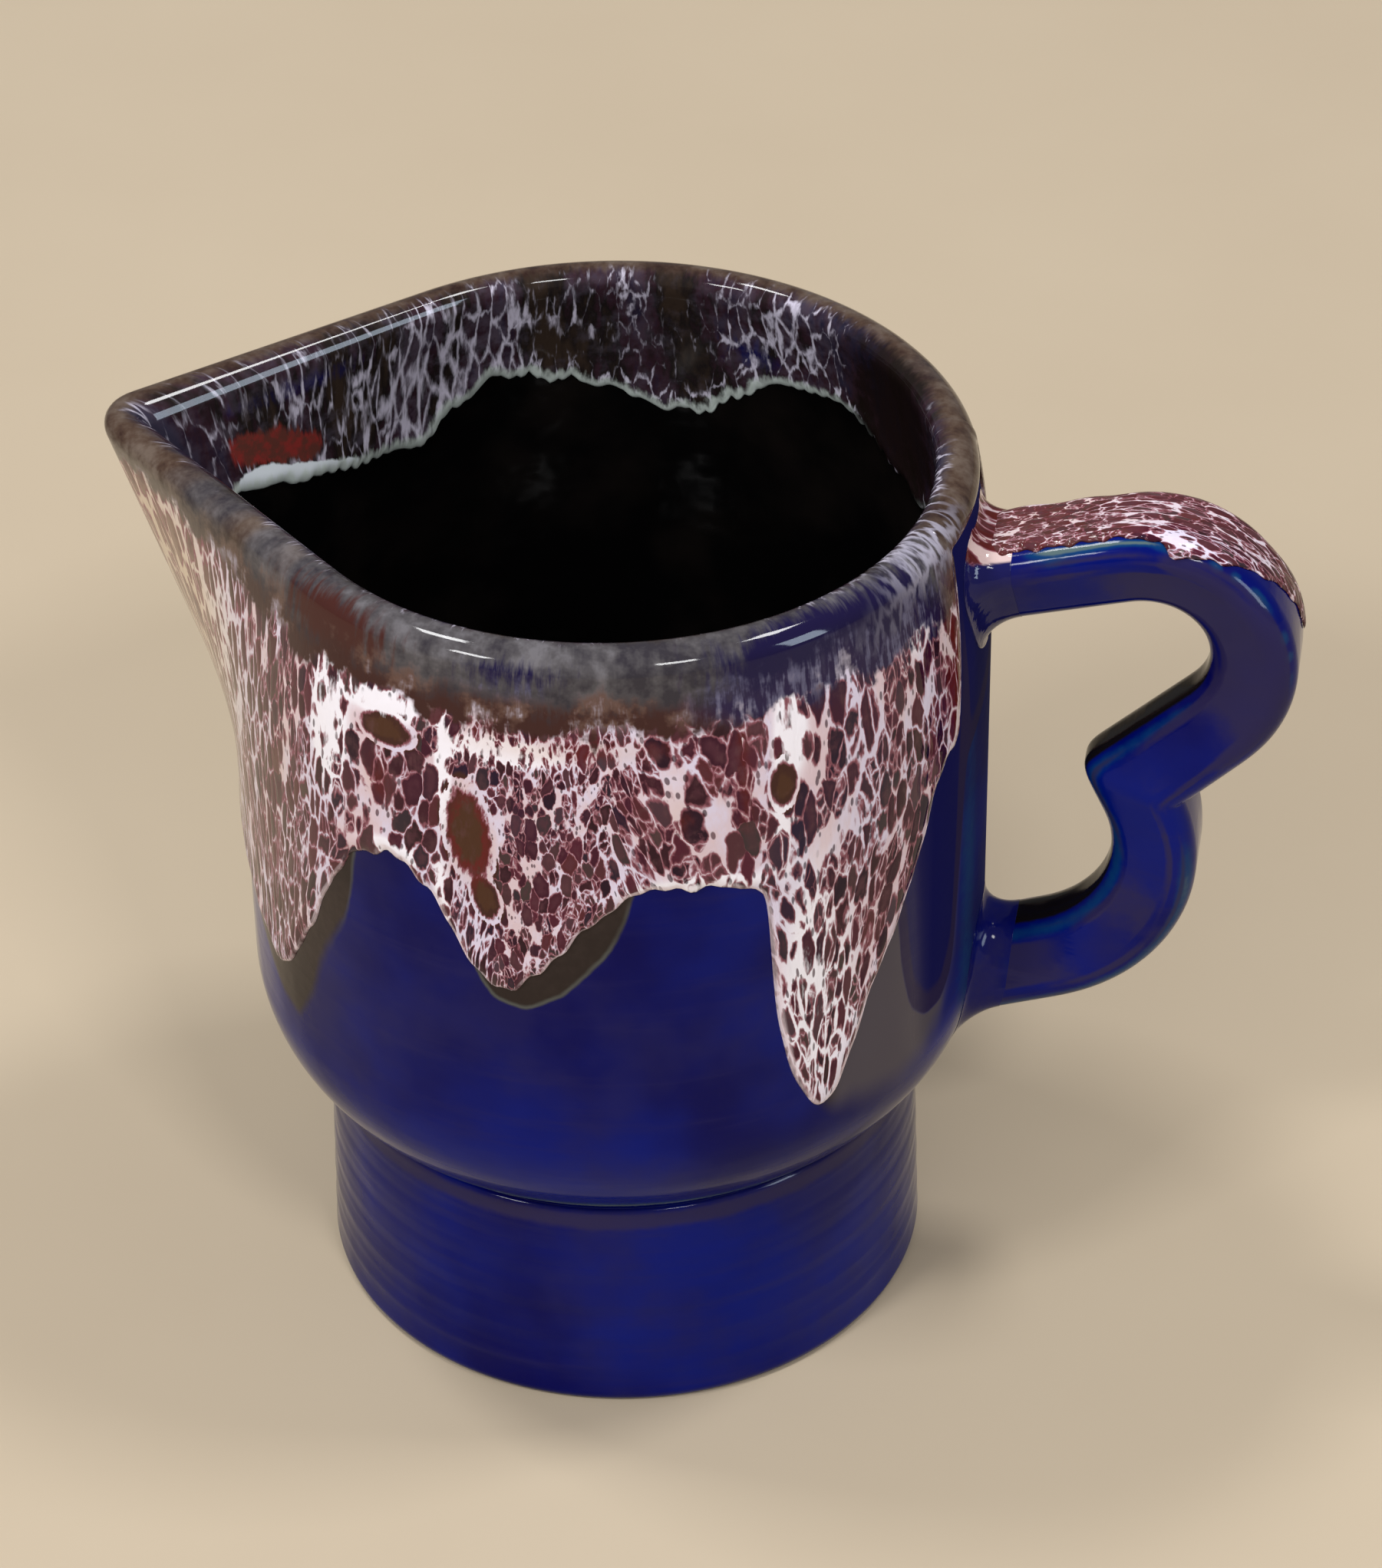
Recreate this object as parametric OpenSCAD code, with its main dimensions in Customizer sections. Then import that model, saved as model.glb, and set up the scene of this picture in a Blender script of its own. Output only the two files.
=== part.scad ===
// Glazed milk jug: a bowl with a pulled spout on a straight foot, a strap handle bent into two lobes,
// and the thick glaze that ran down from the rim.
// Millimetres, +Z up. The origin is the middle of the foot's flat base. The spout points along -X and the
// handle along +X.

/* [Foot] */
// Radius of the foot at the base
foot_r = 37; // [32:0.5:40]
// Radius of the foot at its top, under the bowl
foot_top_r = 36.3; // [32:0.1:40]
// Height of the foot
foot_h = 30.6; // [20:0.2:40]
// Thickness of the foot's wall at its top
foot_wall = 4.6; // [3:0.1:7]
// Thickness of the jug's floor
floor_t = 5; // [3:0.1:9]
// Radius of the rounded edge at the base
foot_edge = 1.5; // [0.5:0.1:3]
// Radius of the corner between the floor and the foot's wall
floor_corner = 5; // [2:0.5:8]

/* [Bowl] */
// Outside radius of the bowl's upright wall
bowl_r = 44.5; // [42:0.5:50]
// How far the wall draws in between the shoulder and the lip
lip_inset = 2.3; // [0:0.1:5]
// Thickness of the bowl's wall
wall = 3.4; // [2.4:0.1:4.4]
// Height of the middle of the rounded lip
lip_z = 113; // [108:0.2:130]
// How far below the lip the wall starts to draw in
shoulder_drop = 23; // [14:0.2:36]
// Radius of the bowl's rounded underside
belly_r = 19; // [14:0.5:24]
// Set back of the bowl's seat from the edge of the foot
seat_inset = 0.9; // [0.4:0.1:2]

/* [Spout] */
// How far the spout's tip stands out from the round of the lip
spout_out = 16.5; // [10:0.1:26]
// How far below the lip the spout leaves the bowl
spout_drop = 42; // [28:0.2:50]
// Inside radius of the spout's nose, seen from above
nose_in = 2.2; // [1.6:0.1:5]

/* [Handle] */
// Width of the strap, across the jug, on the outside of the handle
strap_w = 12.6; // [10:0.1:18]
// Width of the strap on the inside of the handle
strap_inner_w = 9.4; // [8:0.1:12]
// Thickness of the strap
strap_t = 10.4; // [8:0.1:12]
// Thickness across the waist between the two lobes
waist_t = 13.2; // [11:0.1:17]
// Radius of the strap's rounded edges on the outside
strap_edge = 2.8; // [1:0.1:3.4]
// Radius of the strap's rounded edges on the inside
strap_inner_edge = 3.8; // [2:0.1:3.9]
// Distance from the bowl's wall to the centre of the upper lobe
upper_lobe_out = 18.5; // [16:0.1:24]
// Depth of the centre of the upper lobe below the lip
upper_lobe_drop = 18.5; // [17:0.1:22]
// Radius of the strap's middle line round the upper lobe
upper_lobe_r = 12.4; // [10:0.1:14]
// Distance from the bowl's wall to the centre of the lower lobe
lower_lobe_out = 2.9; // [0:0.1:7]
// Height of the centre of the lower lobe above the foot
lower_lobe_rise = 35; // [33:0.1:40]
// Radius of the strap's middle line round the lower lobe
lower_lobe_r = 17.6; // [16:0.1:20]

/* [Slip] */
// Thickness of the slip between the foot and the bowl
slip_t = 0.4; // [0.2:0.1:1]
// How far the slip runs up the handle from the bowl
slip_run = 4.5; // [2.5:0.1:6]
// How far the slip spreads over the bowl round the handle
slip_spread = 3; // [1.5:0.1:4]

/* [Glaze] */
// Thickness of the drip glaze on the bowl
drip_t = 0.5; // [0.3:0.05:0.9]
// Thickness of the black glaze inside
liner_t = 0.4; // [0.2:0.05:0.8]
// Thickness of the glaze on the handle
handle_glaze_t = 0.45; // [0.25:0.05:0.8]
// Gap between a glaze or a slip and what it lies on
skin_gap = 0.2; // [0.15:0.01:0.3]

/* [Hidden] */
$fn = 96;

// Columns round the bowl, from the spout to the handle on one side, and how strongly they crowd to the spout
half_columns = 30;
drip_half_columns = 60;
crowding = 1.6;
// Rows along the underside, up the wall, where they crowd to the spout's lower end, and over the lip
belly_rows = 7;
row_crowding = 1.4;
wall_rows = 6;
drip_rows = 8;
lip_rows = 6;
// Steps round a lobe of the handle and round one edge of the strap
lobe_steps = 12;
edge_steps = 3;

// Headings of the strap, in degrees from +X: at the upper joint, either side of the waist, at the lower joint
upper_heading = 15;
above_waist = -136;
below_waist = -66;
lower_heading = -161;
// Where the glaze ends on the upper lobe, as an angle about the lobe's centre
handle_glaze_end = 5;
// How far the handle's glaze laps round the outer edges of the strap, in degrees of their rounding
glaze_turn = 50;

// Heights and radii of the lip, the shoulder and the spout
lip_r = bowl_r - lip_inset;
shoulder_z = lip_z - shoulder_drop;
spout_reach = lip_r + spout_out;
spout_z = lip_z - spout_drop;
nose_r = nose_in + wall;

// Radii and heights of the seat where the bowl meets the slip and the foot
join_z = foot_h + slip_t;
seat_r = foot_top_r - seat_inset;
throat_r = foot_top_r - foot_wall;
belly_x = bowl_r - belly_r;
belly_z = join_z + sqrt(pow(belly_r, 2) - pow(seat_r - belly_x, 2));
inner_belly_r = belly_r - wall;
liner_face = skin_gap + liner_t;
inner_turn = acos((throat_r - belly_x) / inner_belly_r);

// Lower edge of the drip glaze outside: degrees round from the spout, positive towards the front, and the
// depth below the lip. Each drip has its tip and its two sides, and the glaze is level between them.
drips = [[-163, 25], [-152, 38], [-145, 53], [-139, 58], [-133, 52], [-125, 33], [-116, 28], [-106, 32],
    [-98, 50], [-92, 55], [-86, 48], [-78, 33], [-68, 27], [-58, 30], [-48, 42], [-42, 47], [-35, 42],
    [-25, 34], [-12, 36], [0, 42], [20, 48], [38, 57], [46, 48], [53, 37], [58, 30], [67, 27], [74, 32],
    [79, 41], [84, 43], [89, 40], [96, 33], [104, 27], [121, 29], [123, 31], [124, 48], [127, 60],
    [131, 65.4], [136, 62], [140, 52], [147, 43], [152, 35], [157, 26], [163, 24]];
// Round the handle's upper end the glaze stops just under the lip, clear of the slip there. It rises to that in
// a few steps, in degrees round the bowl.
notch_depth = 0.6;
notch_rise = 3;
notch_steps = 4;
notch_clear = 2;
notch_start = 180 - asin((strap_w / 2 + slip_spread) / lip_r) - notch_clear;
function edge_outside(angle) =
    let (past = (abs(angle) - notch_start + notch_rise) / notch_rise)
    past > 1 ? notch_depth
    : past > 0 ? notch_depth + (lookup(sign(angle) * (notch_start - notch_rise), drips) - notch_depth) * (1 - past)
    : lookup(angle, drips);
// Lower edge of the drip glaze inside, in the same terms
edge_inside = [[-180, 18], [-145, 17], [-125, 11], [-110, 12], [-98, 17], [-89, 19], [-78, 14.6], [-60, 11.5],
    [-53, 13.6], [-44, 19], [-29, 17], [-10, 13], [10, 14], [60, 18], [100, 15], [140, 18], [180, 18]];

// Outside radius of the bowl at a height, measured a depth into the wall
function wall_r(z, depth = 0) =
    z < belly_z ? belly_x + sqrt(max(0, pow(belly_r - depth, 2) - pow(belly_z - z, 2)))
    : z < shoulder_z ? bowl_r - depth
    : bowl_r - depth - (bowl_r - lip_r) * pow((z - shoulder_z) / (lip_z - shoulder_z), 2);

// Distance from the axis to the spout's outer line at a height: a straight line from the bowl to the tip
function keel(z) = bowl_r + (spout_reach - bowl_r) * (z - spout_z) / (lip_z - spout_z);

// Radius of a drop outline: a circle and a smaller nose circle at a distance, joined by tangent lines.
// The angle is counted from the nose.
function drop_r(angle, circle, nose, distance) =
    distance + nose <= circle ? circle
    : let (touch = acos((circle - nose) / distance),
           nose_end = atan2(nose * sin(touch), distance + nose * cos(touch)),
           turn = abs(angle))
      turn > touch ? circle
      : turn > nose_end ? circle / cos(turn - touch)
      : distance * cos(turn) + sqrt(max(0, pow(nose, 2) - pow(distance * sin(turn), 2)));

// A point of the bowl's wall: an angle from the spout, a height, and a depth into the wall
function bowl_point(angle, z, depth) =
    let (r = drop_r(angle, wall_r(z, depth), nose_r - depth, keel(z) - nose_r))
    [-r * cos(angle), -r * sin(angle), z];

// Angles of the columns from the spout, crowded towards it
function columns(half) =
    [for (k = [1 - half : half]) sign(k) * 180 * pow(abs(k) / half, crowding)];

// Depth and height of a point on the lip's round, grown by one amount outside and another inside
function lip_step(turn, outside = 0, inside = 0) =
    let (r = wall / 2 + outside + (inside - outside) * turn / 180)
    [wall / 2 - r * cos(turn), lip_z + r * sin(turn)];

// Shares from 0 to 1 in a number of steps
function shares(steps) = [for (k = [0 : steps]) k / steps];

// Heights of the rows up the wall, from the spout's lower end to the lip
rise = [for (s = shares(wall_rows)) spout_z + (lip_z - spout_z) * pow(s, row_crowding)];

// A closed skin through rings of equally many points. Without hubs the last ring joins the first one, with two
// hubs each end is closed by a fan, and a folded ring, there and back again, is closed by a strip.
module skin(rings, hubs = [], folded = false) {
    m = len(rings[0]);
    n = len(rings);
    last = (n - 1) * m;
    looped = len(hubs) == 0 && !folded;
    body = [for (i = [0 : looped ? n - 1 : n - 2], j = [0 : m - 1])
        let (a = i * m, b = ((i + 1) % n) * m, k = (j + 1) % m)
        each [[a + j, b + j, b + k], [a + j, b + k, a + k]]];
    strip = [for (j = [0 : m / 2 - 2]) each [[j, j + 1, m - 2 - j], [j, m - 2 - j, m - 1 - j]]];
    fan = [for (j = [0 : m - 1]) [j, (j + 1) % m]];
    ends = looped ? []
        : folded ? concat(strip, [for (f = strip) [last + f[2], last + f[1], last + f[0]]])
        : concat([for (f = fan) [n * m, f[0], f[1]]], [for (f = fan) [n * m + 1, last + f[1], last + f[0]]]);
    polyhedron(concat([for (ring = rings) each ring], hubs), concat(body, ends), convexity = 10);
}

// The foot: a cup with a flat base, a rounded edge and a rounded inside corner
module foot_cup() {
    color("midnightblue") rotate_extrude() difference() {
        union() {
            polygon([[0, 0], [foot_r - foot_edge, 0], [foot_r, foot_edge], [foot_top_r, foot_h], [0, foot_h]]);
            intersection() {
                translate([foot_r - foot_edge, foot_edge]) circle(foot_edge);
                square([foot_r, foot_h]);
            }
        }
        translate([0, floor_t]) square([throat_r - floor_corner, foot_h]);
        translate([0, floor_t + floor_corner]) square([throat_r, foot_h]);
        intersection() {
            translate([throat_r - floor_corner, floor_t + floor_corner]) circle(floor_corner);
            translate([0, floor_t]) square([foot_r, foot_h]);
        }
    }
}

// The slip that lutes the bowl onto the foot
module foot_slip() {
    color("midnightblue") rotate_extrude()
        translate([throat_r, foot_h]) square([foot_top_r - throat_r - skin_gap, slip_t]);
}

// Depths and heights down the bowl's section: up the outside, over the lip and down the inside
function bowl_section() =
    let (outer_turn = acos((seat_r - belly_x) / belly_r))
    concat(
        [for (s = shares(belly_rows)) [0, belly_z - belly_r * sin(outer_turn * (1 - s))]],
        [for (z = rise) [0, z]],
        [for (k = [1 : lip_rows - 1]) lip_step(180 * k / lip_rows)],
        [for (k = [wall_rows : -1 : 0]) [wall, rise[k]]],
        [for (s = shares(belly_rows)) [wall, belly_z - inner_belly_r * sin(inner_turn * s)]]);

// The bowl with its lip and spout, open to the foot below
module bowl() {
    around = columns(half_columns);
    throat = [for (a = around) [-throat_r * cos(a), -throat_r * sin(a), join_z]];
    color("midnightblue")
        skin(concat([for (s = bowl_section()) [for (a = around) bowl_point(a, s[1], s[0])]], [throat]));
}

// The black glaze inside: the same walls, an inset away from the clay, from the lip down to the floor
function liner_rings(inset, around) =
    let (corner = floor_corner - inset,
         low = floor_t + floor_corner)
    concat(
        [for (k = [wall_rows : -1 : 0]) [for (a = around) bowl_point(a, rise[k], wall + inset)]],
        [for (s = shares(belly_rows)) [for (a = around)
            bowl_point(a, belly_z - (inner_belly_r - inset) * sin(inner_turn * s), wall + inset)]],
        [for (turn = [0, 30, 60, 90]) [for (a = around)
            let (r = throat_r - inset - corner * (1 - cos(turn)))
            [-r * cos(a), -r * sin(a), low - corner * sin(turn)]]]);

module liner_glaze() {
    around = columns(half_columns);
    face = liner_rings(liner_face, around);
    back = liner_rings(skin_gap, around);
    n = len(back);
    color("black") skin(concat([for (k = [n - 1 : -1 : 0]) back[k]], face),
        [[0, 0, floor_t + skin_gap], [0, 0, floor_t + liner_face]]);
}

// The drip glaze, a growth off the clay outside and off the black glaze inside: up from the outer edge, over
// the lip and down to the inner edge
function drip_rings(grown, around) =
    concat(
        [for (s = shares(drip_rows)) [for (a = around)
            bowl_point(a, lip_z - edge_outside(a) * (1 - s), -grown)]],
        [for (k = [1 : lip_rows - 1]) let (step = lip_step(180 * k / lip_rows, grown, grown + liner_face))
            [for (a = around) bowl_point(a, step[1], step[0])]],
        [for (s = shares(2)) [for (a = around)
            bowl_point(a, lip_z - lookup(a, edge_inside) * s, wall + liner_face + grown)]]);

// Angles of the glaze's columns, with the steps of the notch among them
function drip_columns() =
    let (plain = columns(drip_half_columns),
         steps = [for (s = shares(notch_steps)) notch_start - notch_rise * (1 - s)])
    concat([for (a = plain) if (a < -notch_start) a], [for (k = [notch_steps : -1 : 0]) -steps[k]],
        [for (a = plain) if (abs(a) < steps[0]) a], steps, [for (a = plain) if (a > notch_start) a]);

module drip_glaze() {
    around = drip_columns();
    face = drip_rings(skin_gap + drip_t, around);
    back = drip_rings(skin_gap, around);
    n = len(back);
    color("rosybrown") skin(concat(face, [for (k = [n - 1 : -1 : 0]) back[k]]));
}

// A unit direction in the handle's plane, as x and z
function way(angle) = [cos(angle), sin(angle)];

// Where two lines cross, each given by a point and a heading
function crossing(p, p_way, q, q_way) =
    let (d = q - p, u = way(p_way), v = way(q_way))
    p + u * ((d[0] * v[1] - d[1] * v[0]) / (u[0] * v[1] - u[1] * v[0]));

upper_centre = [bowl_r + upper_lobe_out, lip_z - upper_lobe_drop];
lower_centre = [bowl_r + lower_lobe_out, join_z + lower_lobe_rise];
waist = crossing(upper_centre + upper_lobe_r * way(above_waist + 90), above_waist,
    lower_centre + lower_lobe_r * way(below_waist + 90), below_waist);

// Stations along the strap's middle line: a point in the handle's plane, the heading there, and the stretch
// across the strap, which is wider at the waist where two straight lengths meet
function lobe(centre, r, from, to) =
    [for (s = shares(lobe_steps)) let (h = from + (to - from) * s) [centre + r * way(h + 90), h, 1]];
stations = concat(lobe(upper_centre, upper_lobe_r, upper_heading, above_waist),
    [[waist, (above_waist + below_waist) / 2, waist_t / strap_t]],
    lobe(lower_centre, lower_lobe_r, below_waist, lower_heading));

// Centres of the strap's rounded edges, outside and inside, and the lean of the straight sides between them
outer_edge = [strap_t / 2 - strap_edge, strap_w / 2 - strap_edge];
inner_edge = [strap_inner_edge - strap_t / 2, strap_inner_w / 2 - strap_inner_edge];
side_span = outer_edge - inner_edge;
side_lean = atan2(side_span[1], side_span[0]) - asin((strap_inner_edge - strap_edge) / norm(side_span));

// The strap's section, grown by an amount: offsets towards the outside of the handle and across the jug
function strap_section(grown = 0) =
    let (turns = [0, 90 + side_lean, 180, 270 - side_lean, 360],
         centres = [outer_edge, inner_edge, inner_edge, outer_edge],
         radii = [strap_edge, strap_inner_edge, strap_inner_edge, strap_edge])
    [for (q = [0 : 3]) let (c = centres[q], side = q < 2 ? -1 : 1, r = radii[q] + grown)
        each [for (s = shares(edge_steps)) let (turn = turns[q] + (turns[q + 1] - turns[q]) * s)
            [c[0] + r * cos(turn), side * c[1] - r * sin(turn)]]];

// A ring of the strap at a station
function strap_ring(station, section) =
    [for (p = section) let (c = station[0] + way(station[1] + 90) * (p[0] * station[2])) [c[0], p[1], c[1]]];

// A point moved along a heading in the handle's plane until it lies a gap off the bowl
function land(p, heading, gap, tries = 5) =
    let (x = sqrt(pow(wall_r(p[2]) + gap, 2) - p[1] * p[1]),
         q = [x, p[1], p[2] + (x - p[0]) * tan(heading)])
    tries == 0 ? q : land(q, heading, gap, tries - 1);
function landed(ring, heading, gap) = [for (p = ring) land(p, heading, gap)];

first_station = stations[0];
last_station = stations[len(stations) - 1];

// The strap handle, cut to the bowl at both ends
module handle() {
    section = strap_section();
    halved = section / 2;
    upper_end = [for (s = [halved, section]) landed(strap_ring(first_station, s), upper_heading, skin_gap)];
    lower_end = [for (s = [section, halved]) landed(strap_ring(last_station, s), lower_heading, skin_gap)];
    hubs = [for (s = [first_station, last_station]) land([s[0][0], 0, s[0][1]], s[1], skin_gap)];
    color("mediumblue") skin(concat(upper_end, [for (s = stations) strap_ring(s, section)], lower_end), hubs);
}

// A collar of slip round an end of the handle: it runs up the strap and spreads over the bowl
module handle_slip(station, heading, outward) {
    run = outward * slip_run * [cos(heading), 0, sin(heading)];
    foot = [for (grown = [skin_gap, slip_spread / 3, slip_spread * 2 / 3, slip_spread])
        landed(strap_ring(station, strap_section(grown)), heading, skin_gap)];
    up = [for (p = foot[0]) p + run];
    between = [for (p = foot[1]) p + run / 3];
    rings = [foot[0], up, between, foot[3], foot[2], foot[1]];
    skin(outward < 0 ? rings : [for (k = [5 : -1 : 0]) rings[k]]);
}
module upper_handle_slip() {
    color("brown") handle_slip(first_station, upper_heading, 1);
}
module lower_handle_slip() {
    color("mediumblue") handle_slip(last_station, lower_heading, -1);
}

// The glaze over the top of the handle: a cap over the outer side of the strap that laps its two edges
function cap_section(grown) =
    [for (side = [1, -1], s = shares(edge_steps))
        let (turn = glaze_turn * (side > 0 ? 1 - s : s), r = strap_edge + grown)
        [outer_edge[0] + r * cos(turn), side * (outer_edge[1] + r * sin(turn))]];

module handle_glaze() {
    face = cap_section(skin_gap + handle_glaze_t);
    back = cap_section(skin_gap);
    section = concat(face, [for (k = [len(back) - 1 : -1 : 0]) back[k]]);
    past_slip = (slip_run + skin_gap) * [cos(upper_heading), 0, sin(upper_heading)];
    lead = [for (p = strap_ring(first_station, section)) land(p, upper_heading, skin_gap) + past_slip];
    covered = lobe(upper_centre, upper_lobe_r, upper_heading, handle_glaze_end - 90);
    color("rosybrown") skin(concat([lead], [for (s = covered) strap_ring(s, section)]), folded = true);
}

foot_cup();
foot_slip();
bowl();
handle();
upper_handle_slip();
lower_handle_slip();
liner_glaze();
drip_glaze();
handle_glaze();
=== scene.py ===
# %% [markdown]
# A milk jug under a run glaze. The frame holds the jug's plain solids, and each cell below makes a finer
# surface in the place of one of them. A surface here is a function of two parameters, worked out with
# numpy on a grid of points, so its shape can be read from the formula.

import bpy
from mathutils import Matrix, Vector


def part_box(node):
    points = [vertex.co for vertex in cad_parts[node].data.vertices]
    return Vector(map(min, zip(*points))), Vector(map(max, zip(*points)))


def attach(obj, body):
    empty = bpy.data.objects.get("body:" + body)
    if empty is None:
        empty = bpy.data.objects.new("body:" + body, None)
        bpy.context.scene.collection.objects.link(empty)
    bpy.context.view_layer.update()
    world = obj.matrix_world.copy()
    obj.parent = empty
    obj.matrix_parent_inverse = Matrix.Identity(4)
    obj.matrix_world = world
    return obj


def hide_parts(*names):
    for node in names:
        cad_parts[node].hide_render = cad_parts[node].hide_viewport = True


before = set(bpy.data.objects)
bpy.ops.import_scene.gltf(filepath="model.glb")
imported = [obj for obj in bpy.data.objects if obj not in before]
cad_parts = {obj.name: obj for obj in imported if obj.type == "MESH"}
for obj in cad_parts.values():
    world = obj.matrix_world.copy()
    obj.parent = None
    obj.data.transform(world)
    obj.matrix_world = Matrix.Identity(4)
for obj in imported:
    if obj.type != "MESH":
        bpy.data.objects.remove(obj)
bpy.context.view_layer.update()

# %% [markdown]
# The main sizes come from the solids themselves, so that the dressed jug can't drift away from them. What
# a box can't tell, such as the thickness of a wall, is written down. Lengths are millimetres until a mesh
# is made.

# %% Sizes
import math

import bpy
import numpy as np

MM = 0.001
wall = 3.4


def solid_box(node):
    """Lowest and highest corner of a solid of the frame, in millimetres."""
    return [np.array(corner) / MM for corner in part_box(node)]


foot_high = solid_box("foot_cup")[1]
bowl_low, bowl_high = solid_box("bowl")
foot_r, foot_h = foot_high[0], foot_high[2]
bowl_r, join_z = bowl_high[0], bowl_low[2]
lip_z = bowl_high[2] - wall / 2
print(f"Foot {foot_r:.1f} by {foot_h:.1f}, bowl radius {bowl_r:.1f}, lip at {lip_z:.1f} mm")

# %% [markdown]
# Every piece is a grid of points that is closed in one direction or in both. One helper turns such a grid
# into a mesh. It joins each point to its neighbours as four-sided faces, and it turns the faces round if
# the volume inside them comes out negative, so that they always point outwards.

# %% From a grid of points to a piece
import bmesh


def grid_faces(rows, columns, loop):
    """Corner numbers of each square of a grid whose columns go round, its rows too where loop is true."""
    i = np.arange(rows if loop else rows - 1)[:, None]
    j = np.arange(columns)[None, :]
    here, above = i * columns, (i + 1) % rows * columns
    beside = (j + 1) % columns
    return np.stack([here + j, here + beside, above + beside, above + j], axis=-1).reshape(-1, 4)


def enclosed(points, faces):
    """Volume inside the faces: the sum of the tetrahedra from the origin to each half of a face."""
    a, b, c, d = (points[faces[:, k]] for k in range(4))
    return np.sum(a * (np.cross(b, c) + np.cross(c, d))) / 6


def weld(mesh):
    """Merges points that lie on each other, which closes poles and thin edges, and counts open edges."""
    work = bmesh.new()
    work.from_mesh(mesh)
    bmesh.ops.remove_doubles(work, verts=work.verts, dist=1e-7)
    open_edges = sum(edge.is_boundary for edge in work.edges)
    work.to_mesh(mesh)
    work.free()
    return open_edges


def make_piece(name, points, finish, node, loop=True, fields=None):
    """A piece from its grid of points, rows by columns, with fields of values on them for its finish."""
    rows, columns = points.shape[:2]
    flat = points.reshape(-1, 3)
    faces = grid_faces(rows, columns, loop)
    if enclosed(flat, faces) < 0:
        faces = faces[:, ::-1]
    mesh = bpy.data.meshes.new(name)
    mesh.from_pydata(flat * MM, [], faces, shade_flat=False)
    for field, values in (fields or {}).items():
        kind, key = ("FLOAT_VECTOR", "vector") if values.ndim == 3 else ("FLOAT", "value")
        attribute = mesh.attributes.new(field, kind, "POINT")
        attribute.data.foreach_set(key, values.astype(np.float32).ravel())
    open_edges = weld(mesh)
    mesh.materials.append(finish)
    piece = bpy.data.objects.new(name, mesh)
    bpy.context.scene.collection.objects.link(piece)
    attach(piece, "root")
    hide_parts(node)
    print(f"{name}: {len(mesh.polygons)} faces, {open_edges} open edges")


print("A grid of points becomes a piece with make_piece")

# %% [markdown]
# A glaze is a coat of glass, and its colour follows its thickness and what it ran over. Node trees for
# that get long, so a small class stands for one socket: sums and products of sockets are written as in
# arithmetic, and each adds its Math node. Any other node comes from one method of the finish.

# %% A way to write finishes


def math_method(operation, swapped=False):
    """A method of a wire that adds a Math node of that operation; swapped puts the other value first."""

    def method(wire, value):
        values = [value, wire] if swapped else [wire, value]
        return wire.finish.node("ShaderNodeMath", {"operation": operation}, dict(enumerate(values)))

    return method


class Wire:
    """One output socket. Arithmetic on wires and numbers adds Math nodes."""

    __add__ = math_method("ADD")
    __radd__ = math_method("ADD", swapped=True)
    __sub__ = math_method("SUBTRACT")
    __rsub__ = math_method("SUBTRACT", swapped=True)
    __mul__ = math_method("MULTIPLY")
    least = math_method("MINIMUM")

    def __init__(self, finish, socket):
        self.finish = finish
        self.socket = socket

    def other(self, name):
        """Another output of the same node."""
        return Wire(self.finish, self.socket.node.outputs[name])

    def sway(self, amount):
        """Noise brought about nought, up to half of the amount each way."""
        return (self - 0.5) * amount


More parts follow.
